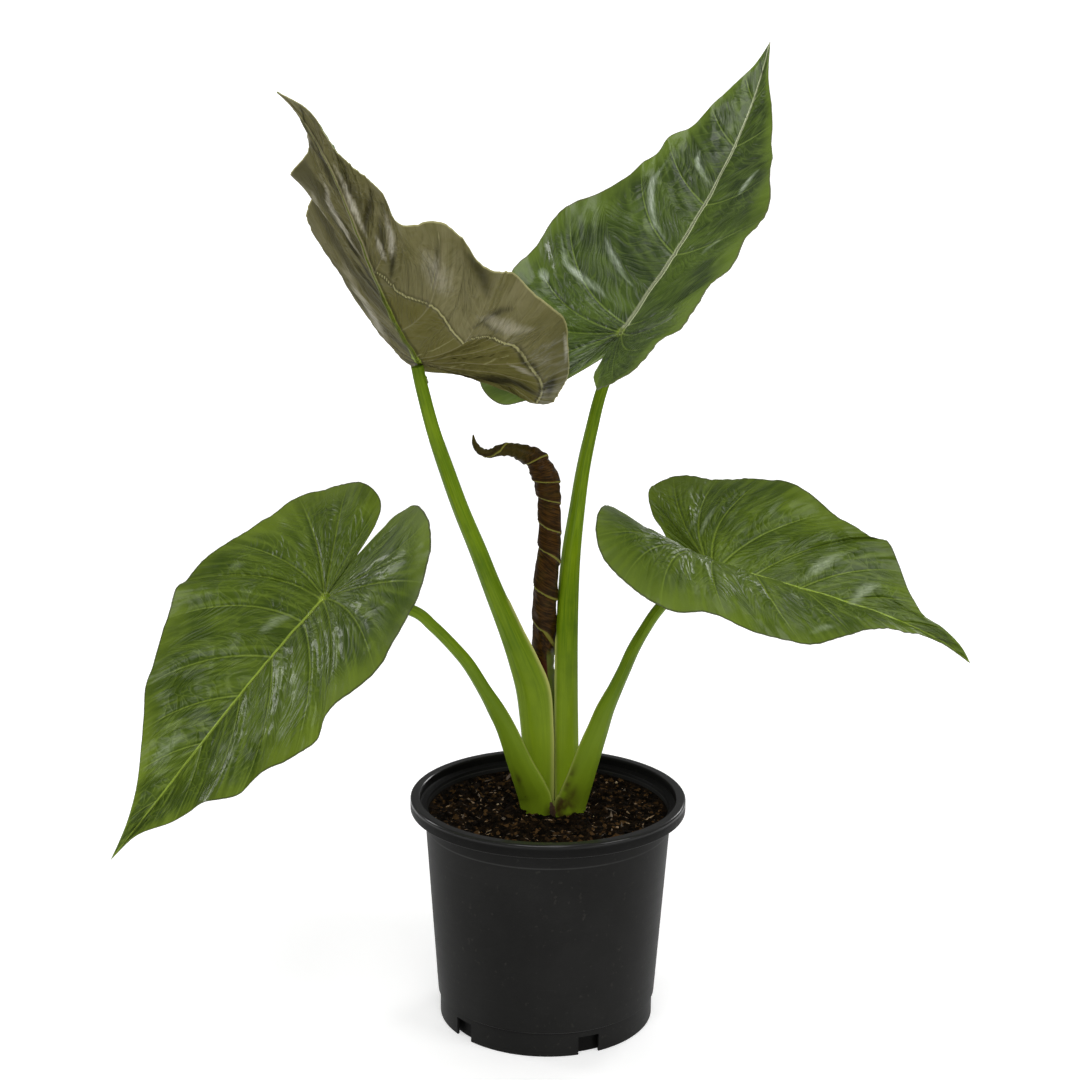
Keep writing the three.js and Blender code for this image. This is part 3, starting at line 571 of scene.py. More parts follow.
def flatVeins(leaf, veins, sides, reaches):
    # Each grid line is a parabola from the midrib to the margin, bowed outwards as a side vein is
    numbers = np.arange(bladeStyle["lastVein"] + 1)
    share = np.interp(veins, numbers, leaf["veinEnd"])
    result = np.zeros((len(veins), len(reaches), 2))
    span = np.zeros((len(veins), len(reaches)))
    for side, label, bows in ((1, "right", leaf["bow"][0]), (-1, "left", leaf["bow"][1])):
        end = curveThrough([[0, leaf["length"]]] + leaf[label] + [leaf["apex"]], share)
        start = np.stack([0 * share, np.interp(veins, numbers, leaf["veinStart"]) * leaf["length"]], axis=-1)
        bow = 2 * side * np.interp(veins, numbers, bows)
        chord = end - start
        knee = (start + end) / 2 + np.stack([chord[:, 1] * bow, -chord[:, 0] * bow], axis=-1)
        chosen = sides == side
        r = reaches[chosen][None, :, None]
        line = (1 - r) ** 2 * start[:, None] + 2 * r * (1 - r) * knee[:, None] + r ** 2 * end[:, None]
        result[:, chosen] = line
        span[:, chosen] = np.linalg.norm(chord, axis=1)[:, None]
    return result, span, share


def bladeRelief(leaf, vein, side, reach, share, span, gap, flat):
    # Height square to the blade: pillow between two veins, the margin's lift at each half vein, single folds,
    # one crease, cross rungs that leave each vein at a slant, fine pleats and crumples, and low dimples
    style = bladeStyle
    x = flat[..., 0]
    y = flat[..., 1]
    fade = np.minimum(1, np.sin(math.pi * share) * style["endFade"])
    swell = np.interp(vein, style["pillowReach"], style["pillowShare"])
    between = np.abs(np.sin(math.pi * vein))
    pillow = leaf["pillow"] * swell * between ** style["pillowPower"]
    height = pillow * reach * (1 - reach) ** style["pillowFall"]
    waved = fade * reach ** style["marginPower"]
    lifts = np.array([leaf["liftRight"], leaf["liftLeft"]], dtype=float).T
    lift = curveThrough(lifts, vein / style["lastVein"])
    height = height + waved * np.where(side > 0, lift[..., 0], lift[..., 1])
    for foldSide, at, width, rise in leaf["folds"]:
        height = height + np.where(side == foldSide, rise * waved * bell(share - at, width), 0.0)
    quiet = smoothStep(reach, *style["crumpleReach"])
    if "creaseHeight" in leaf:
        at, width, strength = [np.interp(vein, leaf["creaseVein"], leaf["crease" + word])
                               for word in ("At", "Width", "Share")]
        ridge = np.maximum(0, 1 - np.sqrt(((reach - at) / width) ** 2 + style["creaseSharpness"]))
        height = height - np.where(side < 0, leaf["creaseHeight"] * fade * strength * ridge, 0.0)
        beyond = smoothStep(reach, at, at + style["beyondCrease"])
        quiet = quiet * np.where(side < 0, beyond, style["otherHalf"])
    wander = style["rungWander"] * softNoise(x, y, style["rungWanderSize"], leaf["seed"])
    rung = (reach * span - style["rungSlant"] * gap - style["rungBend"] * gap ** 2) / style["rungSpacing"]
    rung = rung + wander + style["rungPhase"] * np.round(vein)
    calm = np.sin(math.pi * between / 2) * smoothStep(gap, *style["rungGap"])
    calm = calm * smoothStep(reach, *style["rungReach"])
    near = 1 + style["nearJoint"] * np.exp(-np.hypot(x, y) / style["nearSize"])
    rungShape = np.abs(np.sin(math.pi * rung)) ** style["rungPower"] - 0.5
    height = height + style["rungHeight"] * leaf["rungs"] * near * rungShape * calm
    pleats = softNoise(vein * style["pleatsPerVein"], reach * style["pleatLength"], 1.0, leaf["seed"] + 2)
    pleats = pleats * smoothStep(gap, *style["pleatGap"]) * smoothStep(reach, *style["pleatReach"])
    folded = softNoise(x, y, style["crumpleSize"], leaf["seed"] + 3)
    crumples = (style["crumpleLevel"] - np.sqrt(folded ** 2 + style["crumpleSoftness"])) * quiet
    dimples = softNoise(x, y, style["dimpleSize"], leaf["seed"] + 1) * smoothStep(gap, *style["dimpleGap"])
    fine = leaf["pleat"] * pleats + leaf["crumple"] * crumples + style["dimpleHeight"] * dimples
    return height + fine * fade, rung


def strokeGap(flat, line):
    # Distance from each point to a smooth line through a few points, and the share of the line passed there
    runs = bladeStyle["strokeRuns"]
    path = curveThrough(line, np.linspace(0, 1, runs + 1))
    gap = np.full(flat.shape[:-1], bladeStyle["farAway"])
    passed = np.zeros(flat.shape[:-1])
    for index, first in enumerate(path[:-1]):
        run = path[index + 1] - first
        share = np.clip(((flat - first) @ run) / (run @ run), 0, 1)
        away = np.linalg.norm(flat - first - share[..., None] * run, axis=-1)
        passed = np.where(away < gap, (index + share) / runs, passed)
        gap = np.minimum(gap, away)
    return gap, passed


def strokeField(flat, strokes):
    # The strongest of soft strokes: a bell over the distance to each line, slimmer and weaker at both ends
    field = np.zeros(flat.shape[:-1])
    ending = bladeStyle["strokeEnd"]
    for line, width, most in strokes:
        gap, passed = strokeGap(flat, line)
        slim = ending + (1 - ending) * np.sin(math.pi * passed)
        field = np.maximum(field, most * slim * bell(gap, width * slim))
    return field


bladeLook = {
    "netStretch": (1.3, 2.6), "flowStretch": (2.6, 8.0), "wrinkleStretch": (12.0, 20.0), "netCells": 1.0,
    "mottle": (20.0, 4.0), "flow": (1.0, 3.0, 0.5), "fine": (4.0, 2.0, 0.5), "wrinkle": (1.0, 4.0, 0.6),
    "skin": (260.0, 3.0), "netLine": (1, 0.06, 0.0), "calm": (1, 0.95, 0.75),
    "veinFades": (0.7, 0.6, 1.0), "veinCore": 0.165, "veinWidth": 1.21, "veinTaper": 0.77, "ribCore": 0.6,
    "half": (1, 19.0, 20.0), "patches": (1, 0.3, 0.7), "streak": (1, 0.42, 0.68),
    "fineStreak": (0.4, 0.5, 0.8), "towardsMargin": (1, 0.7, 1.05), "marginBreak": 0.6, "netShare": 0.2,
    "besideVein": (0.45, 0.5, 1.0, 1.2, 2.6), "veinShare": 0.6, "ribShare": 0.85,
    "ribGroove": (1, 0.8, 0.35), "bossSpot": (0.8, 0.3, 0.75), "underPatches": (0.5, 0.3, 0.7),
    "underStreak": (0.7, 0.35, 0.7), "underFine": (0.3, 0.5, 0.8), "underNet": 0.25, "flatShare": 0.7,
    "paintedFoldShade": (0.55, 0.5, 0.62, 0.8, 0.95), "paintedCreaseShade": (1, 0.7, 1.1, 1.4, 3.5), "shadeShare": 0.45,
    "shadeOnDull": 0.4, "paintedCreaseHighlight": (0.95, 1.2, 0.6), "ribColours": (1, 2.6, 4.0),
    "ribShade": (0.6, 1.4, 2.4, 3.0, 4.6), "keelLine": (1, 2.4, 1.5), "underBoss": (1, 0.01, 0.5),
    "onKeel": (1, 3.2, 2.2), "face": (1, 0.45, 0.55), "wrinkleLift": 0.3, "crisp": (1, 0.3, 0.95),
    # valleyShare to core shape the painted shade and the painted highlights of the strokes
    "valleyShare": 0.85, "paintedWrinkleShade": (0.45, 0.52, 0.3), "gleamShare": 0.7, "core": (0.5, 0.7, 1.1),
    "lineEdge": (0.4, 0.7, 0.25), "marginLine": (0.85, 0.985, 0.996), "skinRough": 0.1,
    "underRough": 0.06, "flowRough": (0.1, 0.4, 0.7), "dullRough": 0.3, "crispSmooth": 0.08,
    "mattRough": 0.4, "netRelief": (0.0006, 0.0, 0.35), "skinRelief": 0.0003, "flowRelief": 0.0008,
    "dullCoat": 0.8, "coatRoughness": 0.13,
}


def bladeFinish(name, leaf):
    # Upper and lower face in one material, told apart by the attribute under. Streaks run along the veins,
    # and the net of small veins is a cell pattern, both laid in the leaf's own directions. Highlights and
    # shade
    # are painted in too: along the leaf's strokes, at the crease and in the pleats of the lower face's right
    # half.
    look = {**bladeLook, **leaf["colours"]}
    finish = Finish(name, look)
    mask = finish.mask
    gap, rung, reach, ribGap = finish.attributes("gap", "rung", "reach", "ribGap")
    under, vein, boss, crease, dull = finish.attributes("under", "vein", "boss", "crease", "dull")
    paintedGleam, paintedShade, line, matt = finish.attributes("paintedGleam", "paintedShade", "line", "matt")

    def laid(stretch, along):
        return finish.vector(along * look[stretch][0], vein * look[stretch][1])

    net = finish.cells("netCells", "DISTANCE_TO_EDGE", laid("netStretch", rung))
    flow = finish.noise("flow", laid("flowStretch", reach))
    fine = finish.noise("fine", laid("flowStretch", reach))
    wrinkle = finish.noise("wrinkle", laid("wrinkleStretch", reach))
    mottle = finish.noise("mottle")
    skin = finish.noise("skin")
    calm = mask("calm", reach)
    netLine = mask("netLine", net) * calm
    veinLine = finish.ramp(gap, look["veinWidth"] - reach * look["veinTaper"], look["veinCore"])
    veinLine = veinLine * (1 - mask("veinFades", reach)) * look["veinShare"]
    ribLine = finish.ramp(ribGap, leaf["ribReach"], leaf["ribReach"] * look["ribCore"]) * look["ribShare"]
    broken = reach + (mottle - 0.5) * look["marginBreak"]
    upper = finish.cover(
        finish.blend(mask("patches", mottle), "deep", "mid"),
        (mask("streak", flow) * leaf["streaks"], "light"),
        (mask("fineStreak", fine) * leaf["streaks"], "deep"),
        (mask("towardsMargin", broken) * leaf["marginShare"], "margin"),
        (netLine * look["netShare"], "vein"),
        (mask("besideVein", gap) * calm, "deep"),
        (veinLine, "vein"),
        (ribLine, "rib"),
        (mask("ribGroove", ribGap) * leaf["ribSplit"], "mid"),
        (mask("bossSpot", boss), "boss"))
    onRight = mask("half", vein)
    onSide = vein - onRight * bladeStyle["rightVeins"]
    ribColour = finish.blend(mask("ribColours", onSide), "underVein", "underRib")
    lower = finish.cover(
        finish.blend(mask("underPatches", mottle), "under", "underVein"),
        (mask("underStreak", flow), "under"),
        (mask("underFine", fine), "underDeep"),
        (netLine * look["underNet"], "underVein"),
        (dull * look["flatShare"], "underFlat"),
        # painted shade: dark strips in each vein gap of the right half stand in for the shaded sides of its
        # pleats
        (mask("paintedFoldShade", vein.fraction()) * onRight, "underDeep"),
        (veinLine, "underVein"),
        # painted shadow along the crease ridge, stronger on the dull side below it
        (mask("paintedCreaseShade", crease) * (look["shadeShare"] + dull * look["shadeOnDull"]), "underDeep"),
        # painted highlight: a pale line along the crest of the crease
        (mask("paintedCreaseHighlight", crease), "edge"),
        (mask("ribShade", ribGap), "underDeep"),
        (mask("keelLine", ribGap), ribColour),
        (mask("underBoss", boss) * mask("onKeel", ribGap), "boss"))
    seen = mask("face", under) if leaf["seen"] == "under" else 1 - under
    dark = "underDeep" if leaf["seen"] == "under" else "deep"
    # Painted highlights: the sheen strokes become pale strips, broken by the wrinkle noise, with a paler core
    paintedGleam = paintedGleam * seen
    lit = paintedGleam * (wrinkle + look["wrinkleLift"])
    crisp = mask("crisp", lit)
    base = finish.cover(
        finish.blend(mask("face", under), upper, lower),
        # painted shade from the shade strokes: valleys between bulges, and lobes darkened
        (paintedShade * seen * look["valleyShare"], dark),
        # painted shade in the wrinkles around each painted highlight
        (paintedGleam * mask("paintedWrinkleShade", wrinkle), dark),
        # painted highlight strips
        (crisp * look["gleamShare"], "paintedGleam"),
        # painted highlight, the brightest core of each strip
        (mask("core", lit), "shine"),
        (mask("lineEdge", line) * seen, "edge"),
        (mask("marginLine", reach), "edge"))
    rough = leaf["gloss"] + skin * look["skinRough"] + under * look["underRough"] + mask("flowRough", flow)
    rough = rough + dull * look["dullRough"] - crisp * look["crispSmooth"] + matt * look["mattRough"]
    relief = mask("netRelief", net) * calm + skin * look["skinRelief"] + flow * look["flowRelief"]
    coat = (1 - dull * look["dullCoat"]) * (1 - matt) * leaf["coat"]
    return finish.close(relief, base_color=base, roughness=rough, coat_weight=coat,
                        coat_roughness=look["coatRoughness"], specular_ior_level=leaf["specular"])


def makeBlade(place, leaf):
    # The same grid on the upper and the lower face, joined along the margin
    style = bladeStyle
    veins = np.linspace(0, style["lastVein"], style["lastVein"] * style["columnsPerVein"] + 1)
    steps = np.linspace(0, 1, style["stopsPerSide"] + 1) ** style["stopCrowding"]
    reaches = np.concatenate([steps[:0:-1], steps])
    sides = np.concatenate([-np.ones(len(steps) - 1), np.ones(len(steps))])
    flat, span, share = flatVeins(leaf, veins, sides, reaches)
    x = flat[..., 0]
    y = flat[..., 1]
    e = style["normalStep"]
    here = bentBlade(leaf, x, y)
    acrossStep = bentBlade(leaf, x + e, y) - bentBlade(leaf, x - e, y)
    alongStep = bentBlade(leaf, x, y + e) - bentBlade(leaf, x, y - e)
    normal = unit(np.cross(acrossStep, alongStep))
    vein = np.broadcast_to(veins[:, None], x.shape)
    side = np.broadcast_to(sides, x.shape)
    reach = np.broadcast_to(reaches, x.shape)
    width = np.linalg.norm(np.gradient(flat, veins, axis=0), axis=-1)
    gap = np.where(np.round(vein) < 1, style["farAway"], np.abs(vein - np.round(vein)) * width)
    slim, full = style["ribTaper"]
    ribGap = np.where(y > 0, np.abs(x), np.hypot(x, y)) / np.clip(full - y / leaf["length"], slim, full)
    height, rung = bladeRelief(leaf, vein, side, reach, share[:, None], span, gap, flat)
    fadeOut = 1 - smoothStep(reach, *style["ribFades"])
    ridge = style["ribHeight"] * bell(gap, style["ribWidth"]) * fadeOut
    furrow = style["furrowDepth"] * bell(gap, style["furrowWidth"]) * fadeOut
    rise = np.clip((y + style["keelStart"]) / style["keelRise"], 0, 1)
    keel = style["keelDepth"] * rise * (1 - y / leaf["length"]) * bell(x, style["keelWidth"])
    thinning = (style["thickness"] - style["marginThickness"]) * smoothStep(reach, *style["marginThins"])
    half = (style["thickness"] - thinning) / 2
    upper = here + normal * (height + half - furrow)[..., None]
    lower = here + normal * (height - half - np.maximum(ridge, keel))[..., None]
    rows, columns = x.shape
    below = rows * columns
    grid = gridFaces(rows, columns)
    i = np.arange(rows - 1) * columns
    j = i + columns - 1
    leftRim = np.stack([i, i + below, i + columns + below, i + columns], axis=-1)
    rightRim = np.stack([j, j + columns, j + columns + below, j + below], axis=-1)
    faces = np.concatenate([grid[:, ::-1], grid + below, leftRim, rightRim])
    points = np.concatenate([upper.reshape(-1, 3), lower.reshape(-1, 3)])
    far = np.full_like(x, style["farAway"])
    attributes = {
        "gap": gap, "rung": rung, "reach": reach, "ribGap": ribGap, "crease": far, "dull": 0 * x,
        "vein": vein + style["rightVeins"] * (side > 0), "boss": bell(np.hypot(x, y), style["bossSize"]),
        # strength of painted highlight and of painted shade at each point, from the leaf's strokes
        "paintedGleam": strokeField(flat, leaf["paintedSheens"]), "paintedShade": strokeField(flat, leaf["paintedShades"]),
        "matt": strokeField(flat, leaf["matts"]),
        "line": np.min([far] + [strokeGap(flat, line)[0] for line in leaf["lines"]], axis=0),
    }
    if "creaseHeight" in leaf:
        at = np.interp(vein, leaf["creaseVein"], leaf["creaseAt"])
        shown = (side < 0) & (vein > leaf["creaseVein"][0]) & (vein < leaf["creaseVein"][-2])
        attributes["crease"] = np.where(shown, np.abs(reach - at) * span, far)
        inside = smoothStep(at - reach, *style["dullEdge"]) * smoothStep(vein, *style["dullVein"])
        attributes["dull"] = np.where(side < 0, inside, 0.0)
    attributes = {key: np.tile(values.ravel(), 2) for key, values in attributes.items()}
    attributes["under"] = np.repeat([0.0, 1.0], below)
    node = "blade_" + place
    seat(makePiece(node + "_look", points, faces, bladeFinish(node, leaf), attributes), node)


for place, leaf in leaves.items():
    makeBlade(place, {**usualLeaf, **leaf})
    print("blade made:", place)


# Stalks: stations as x, y, z, half width, half depth, from the corm to the blade's joint. A margin is its
# angles and its heights at start and end, its rise and its spread; a stain its angle, height, spread, reach
# and strength.

stalkStyle = {
    "rows": 220, "sides": 40, "pathStep": 0.002, "sharpAngle": 60.0, "grooveDepth": 0.12, "grooves": 9,
    "grooveTwist": 3.0, "marginEnd": (6.0, 1.0), "bandSpread": 1.5,
}

stalks = {
    "lower_left": {
        "facing": [-0.35, -1], "seed": 3, "tone": 0.45,
        "stains": [[70, 176, 12, 5, 0.9], [150, 150, 20, 4, 0.7]],
        "margins": [[168, 186, 150, 229, 0.4, 5.0], [-62, -40, 150, 222, 0.6, 6.0]],
        "stations": [[-6, -3, 116.3, 9, 5], [-8, -5, 153, 12, 5.3], [-11.6, -6.5, 166.6, 11.6, 5.4],
                     [-19.6, -9, 186, 9.2, 5.4], [-28.7, -13.5, 211, 7, 5], [-35.5, -17, 226, 6.1, 4.8],
                     [-43.5, -21, 241.4, 4.7, 4.5], [-54, -27, 261, 4.2, 4.3], [-65, -32, 276, 3.9, 4],
                     [-77, -37, 290, 3.8, 3.8], [-89.6, -42, 301.7, 3.8, 3.8], [-118, -48.5, 311, 3.8, 3.8],
                     [-145.5, -52, 311.5, 3.7, 3.7]],
    },
    "lower_right": {
        "facing": [0.35, -1], "seed": 5, "tone": 0.45,
        "stains": [[56, 152, 50, 14, 1.2], [30, 170, 20, 12, 1.0], [70, 164, 16, 7, 0.8]],
        "margins": [[12, -6, 150, 240, 0.4, 5.0], [242, 220, 150, 232, 0.6, 6.0]],
        "stations": [[12, -5, 116.3, 9, 5], [14.5, -7, 151, 11.9, 5.6], [17.2, -7, 160, 11.1, 5.6],
                     [22, -7.5, 174.5, 10, 5.5], [29.5, -8, 198.6, 8.6, 5.2], [33.2, -8, 209.4, 7.7, 5],
                     [38, -8.5, 224, 6.5, 4.8], [44.3, -8.5, 238.3, 5.1, 4.6], [50.4, -9, 252.6, 4.4, 4.4],
                     [56.2, -9, 266.8, 4.2, 4.2], [63.7, -9, 281, 3.8, 3.9], [72.5, -9, 295, 3.8, 3.8],
                     [88, -9, 313, 3.8, 3.8], [104.4, -8.8, 326, 3.8, 3.8]],
    },
    "upper_left": {
        "facing": [-0.2, -1], "seed": 7, "tone": 0.1,
        "margins": [[158, 176, 150, 299, 1.1, 8.0], [-70, -44, 150, 290, 0.9, 13.0]],
        "stations": [[-5, 9, 116.3, 9, 4.6], [-6, 9, 150, 10.3, 4.8], [-6.6, 9, 178, 10.7, 5],
                     [-8, 8.5, 205, 11.6, 5.2], [-11, 8, 232, 12, 5.5], [-18, 7, 253.5, 10.3, 5.8],
                     [-27, 6, 276, 8.2, 6], [-38.3, 4, 304, 6.6, 6.2], [-49, 1, 333, 5.9, 5.9],
                     [-60, -2, 361, 5.4, 5.5], [-69.5, -6, 389, 5.1, 5.2], [-78, -10, 416, 4.5, 4.7],
                     [-84.7, -14, 443.4, 4.2, 4.3], [-88, -15.1, 459, 4, 4.1]],
    },
    "upper_right": {
        "facing": [0.25, -1], "seed": 9, "tone": 0.0,
        "margins": [[10, 0, 150, 272, 0.8, 7.0], [244, 222, 150, 262, 0.9, 7.0]],
        "stations": [[13.5, 12, 116.3, 8, 4.6], [13.4, 12.7, 150, 8.5, 4.9], [12.8, 13, 190, 8.3, 5.4],
                     [12.2, 14, 225, 8, 5.8], [12, 15.5, 265, 7.6, 6], [12.7, 21, 299, 7.2, 6],
                     [14.5, 28, 326, 6.5, 5.8], [18, 37, 353, 5.4, 5.4], [22, 45, 380, 4.7, 4.8],
                     [27.6, 53, 406, 4.3, 4.4], [34.6, 60, 433, 4, 4.1], [47.7, 63.3, 468.5, 3.9, 3.9]],
    },
}


def walkPath(stations, rows, facing):
    # Stations along a smooth path, with the direction across it, square to the facing, and the direction deep
    share = np.linspace(0, 1, rows)
    step = stalkStyle["pathStep"]
    here = curveThrough(stations, share)
    ahead = curveThrough(stations, share + step)[:, :3] - curveThrough(stations, share - step)[:, :3]
    ahead[0] = [0, 0, 1]
    ahead = unit(ahead)
    across = unit(np.cross([*facing, 0.0], ahead))
    return share[:, None], here, across, np.cross(ahead, across)


def makeTube(name, path, wide, deepness, material, attributes):
    # Rings along a path: a width times the direction across it plus a depth times the direction deep. The two
    # end rings are closed by fans from their middles, so the quads are split to make one list of triangles.
    _, here, across, deep = path
    ring = here[:, None, :3] + across[:, None] * wide[..., None] + deep[:, None] * deepness[..., None]
    rows, columns = wide.shape
    first = rows * columns
    j = np.arange(columns)
    beside = (j + 1) % columns
    top = first - columns
    quads = gridFaces(rows, columns, closedAcross=True)
    low = np.stack([first + 0 * j, beside, j], axis=-1)
    high = np.stack([first + 1 + 0 * j, top + j, top + beside], axis=-1)
    faces = np.concatenate([quads[:, [0, 1, 2]], quads[:, [0, 2, 3]], low, high])
    points = np.concatenate([ring.reshape(-1, 3), ring[[0, -1]].mean(axis=1)])
    grown = {}
    for key, values in attributes.items():
        spread = np.broadcast_to(values, wide.shape)
        grown[key] = np.concatenate([spread.ravel(), spread[[0, -1]].mean(axis=1)])
    return makePiece(name, points, faces, material, grown, stalkStyle["sharpAngle"])


stalkLook = {
    "light": "#738c0e", "mid": "#587405", "deep": "#3f5a04", "pale": "#cfcc7c", "foot": "#9bb42a",
    "brown": "#3f3414", "stretch": (6.0, 9.0), "streak": (3.0, 4.0, 0.6), "mottle": (60.0, 3.0),
    "spots": 220.0, "spread": (30.0, 2.0), "skin": (700.0, 2.0), "streaks": (1, 0.35, 0.68),
    "patches": (0.4, 0.45, 0.75), "low": (0.7, 0.28, 0.17), "footGlow": (0.15, 0.19, 0.15),
    "footShare": (1, 0.19, 0.15), "toned": (1, 0.28, 0.24), "worn": (1, 0.25, 0.5),
    "specks": (0.7, 0.16, 0.1), "speckPatches": (1, 0.56, 0.66), "marginShare": 0.75, "flute": 0.00012,
    "skinRelief": 0.00004, "gloss": 0.34, "mottleRough": 0.16, "specular": 0.12,
}
softSkin = {"coat_weight": 0.05, "coat_roughness": 0.25}


def stalkFinish(name, stalk):
    # Heights are in metres, in the attribute along; streaks run lengthwise
    finish = Finish(name, stalkLook)
    mask = finish.mask
    around, along, margin, seed, stain = finish.attributes("around", "along", "margin", "seed", "stain")
    turnwise, lengthwise = stalkLook["stretch"]
    streak = finish.noise("streak", finish.vector(around * turnwise, along * lengthwise, seed))
    mottle = finish.noise("mottle")
    specks = mask("specks", finish.cells("spots")) * mask("speckPatches", finish.noise("spread"))
    base = finish.cover(
        finish.blend(mask("streaks", streak), "mid", "light"),
        (mask("patches", mottle), "deep"),
        (mask("low", along) + mask("footGlow", along), "foot"),
        (mask("toned", along) * stalk["tone"], "deep"),
        (stain * mask("worn", mottle), "brown"),
        (specks * mask("footShare", along), "brown"),
        (margin * stalkLook["marginShare"], "pale"))
    relief = streak * stalkLook["flute"] + finish.noise("skin") * stalkLook["skinRelief"]
    rough = stalkLook["gloss"] + mottle * stalkLook["mottleRough"]
    specular = stalkLook["specular"]
    return finish.close(relief, base_color=base, roughness=rough, specular_ior_level=specular, **softSkin)


def angleGap(angle, degrees):
    # How far an angle is from one given in degrees, either way round
    return np.abs((angle - np.radians(degrees) + math.pi) % turnRound - math.pi)


def makeStalk(place, stalk):
    # Ellipse along the path, with raised sheath margins that climb it at an angle and end below the blade
    style = stalkStyle
    path = walkPath(stalk["stations"], style["rows"], stalk["facing"])
    share, here = path[:2]
    angle = roundAngles(style["sides"])
    height = here[:, 2:3]
    lift = style["grooveDepth"] * np.cos(style["grooves"] * angle + share * style["grooveTwist"])
    band = 0 * lift
    for low, high, start, end, rise, spread in stalk["margins"]:
        middle = low + (high - low) * np.clip((height - start) / (end - start), 0, 1)
        away = angleGap(angle, middle)
        before, after = style["marginEnd"]
        inRange = 1 - smoothStep(height, end - before, end + after)
        lift = lift + rise * bell(away, math.radians(spread)) * inRange
        broad = bell(away, math.radians(spread * style["bandSpread"]))
        band = np.maximum(band, min(rise, 1.0) * broad * inRange)
    stain = 0 * lift
    for middle, at, spread, tall, most in stalk.get("stains", []):
        spot = bell(angleGap(angle, middle), math.radians(spread)) * bell(height - at, tall)
        stain = np.maximum(stain, most * spot)
    attributes = {
        "around": np.sin(angle), "along": height * millimetre, "margin": band, "seed": stalk["seed"],
        "stain": stain,
    }
    wide = (here[:, 3:4] + lift) * np.cos(angle)
    deep = (here[:, 4:5] + lift) * np.sin(angle)
    node = "stalk_" + place
    seat(makeTube(node + "_look", path, wide, deep, stalkFinish(node, stalk), attributes), node)


for place, stalk in stalks.items():
    makeStalk(place, stalk)
    print("stalk made:", place)


# A dried sheath scrap at the foot of the stalks: stations as x, y, z, half width, half depth

scrapStyle = {
    "rows": 40, "sides": 16, "curl": 0.5, "ripple": 0.16, "ripples": 23.0, "facing": [0.1, -1],
    "stations": [[3.4, -12.6, 148, 1.6, 0.5], [3.2, -13.2, 152, 2.0, 0.5], [2.6, -13.6, 156, 1.6, 0.4],
                 [1.8, -13.4, 159, 0.6, 0.3]],
}

scrapLook = {
    "bark": "#2c1a0c", "straw": "#6e4f2a", "grain": (1.0, 1.0, 0.2), "fibre": (90.0, 4.0, 0.6),
    "fibres": (1, 0.4, 0.7), "relief": 0.0006, "gloss": 0.6, "fibreRough": 0.3,
}


def fibreFinish(name, look):
    # Long fibres between two colours, raised and rougher where they are light
    finish = Finish(name, look)
    fibre = finish.noise("fibre", finish.stretched("grain"))
    base = finish.blend(finish.mask("fibres", fibre) if "fibres" in look else fibre, "bark", "straw")
    rough = look["gloss"] + fibre * look["fibreRough"]
    return finish.close(fibre * look["relief"], base_color=base, roughness=rough)


def makeScrap():
    # A flat ellipse along a short bent path, cupped, and rippled along its edges
    style = scrapStyle
    path = walkPath(style["stations"], style["rows"], style["facing"])
    share, here = path[:2]
    angle = roundAngles(style["sides"])
    wide = here[:, 3:4] * (1 + style["ripple"] * np.sin(share * style["ripples"])) * np.cos(angle)
    cupped = here[:, 4:5] * np.sin(angle) + style["curl"] * here[:, 3:4] * np.cos(angle) ** 2
    seatBeside(makeTube("scrap_middle", path, wide, cupped, fibreFinish("scraps", scrapLook), {}))


makeScrap()


# The leaf that is still rolled: stations as x, y, z, radius; its free edge steps back once a turn

rollStyle = {
    "rows": 420, "sides": 72, "step": 0.16, "edgeSoftness": 0.04, "facing": [0, -1],
    "places": [0, 5.62, 6.86, 7.8, 8.37, 9.2, 10.2, 12.0, 15.0, 19.0],
    "turns": [-2.0, -0.25, 0.75, 1.75, 2.75, 3.75, 4.75, 5.75, 6.75, 7.2],
    "wrinkle": 0.4, "wrinkleSize": 9.0, "wrinklesAlong": 17.0, "wrinkleSeed": 71, "wrinkleRadius": (1.0, 4.0),
    "tip": (11.5, 14.0),
}

rollStations = [
    [2, 24.5, 116.3, 4.4], [2, 24.5, 149, 5.2], [1.5, 24.5, 190, 6], [-1, 24, 225, 6.8],
    [-3.2, 23.2, 243, 7.8], [-3.9, 22.3, 259.5, 8.8], [-3.4, 19, 283, 9], [-3.1, 14.5, 305, 9],
    [-0.7, 14, 335, 8.4], [-1.2, 14, 362, 8.3], [-2.7, 14, 376, 9.4], [-6.3, 14, 386, 9],
    [-11.4, 14, 393, 7.7], [-18.6, 13.5, 396.7, 6.5], [-26.4, 13, 399.2, 5], [-35, 12, 398.7, 4.1],
    [-42, 10, 396.9, 3.2], [-47.7, 8, 399.4, 2.7], [-51.2, 6, 404.5, 1.9], [-52.3, 5, 410.7, 0.5],
]

rollLook = {
    "chocolate": "#4a3110", "umber": "#221606", "olive": "#3c3a12", "edge": "#807e34", "young": "#616b2c",
    "red": "#4a1f14", "stretch": (5.0, 30.0), "streak": (4.0, 4.0, 0.6), "mottle": (70.0, 4.0),
    "streaks": (1, 0.35, 0.7), "patches": (0.4, 0.5, 0.75), "tipShare": 0.6, "edgeShare": 0.8,
    "edgeStart": (1, 0.055, 0.02), "edgeEnd": (1, 0.975, 0.99),
    "paintedShadeBesideEdge": (0.6, 0.06, 0.1, 0.12, 0.22), "sliverTop": (1, 0.262, 0.252),
    "sliverSide": (1, -0.2, -0.35), "wedgeTop": (1, 0.256, 0.245), "wedgeSide": (1, 0.7, 0.55),
    "youngTop": (1, 0.228, 0.222), "streakRelief": 0.0002, "mottleRelief": 0.0002, "gloss": 0.36,
    "mottleRough": 0.2, "specular": 0.05,
}


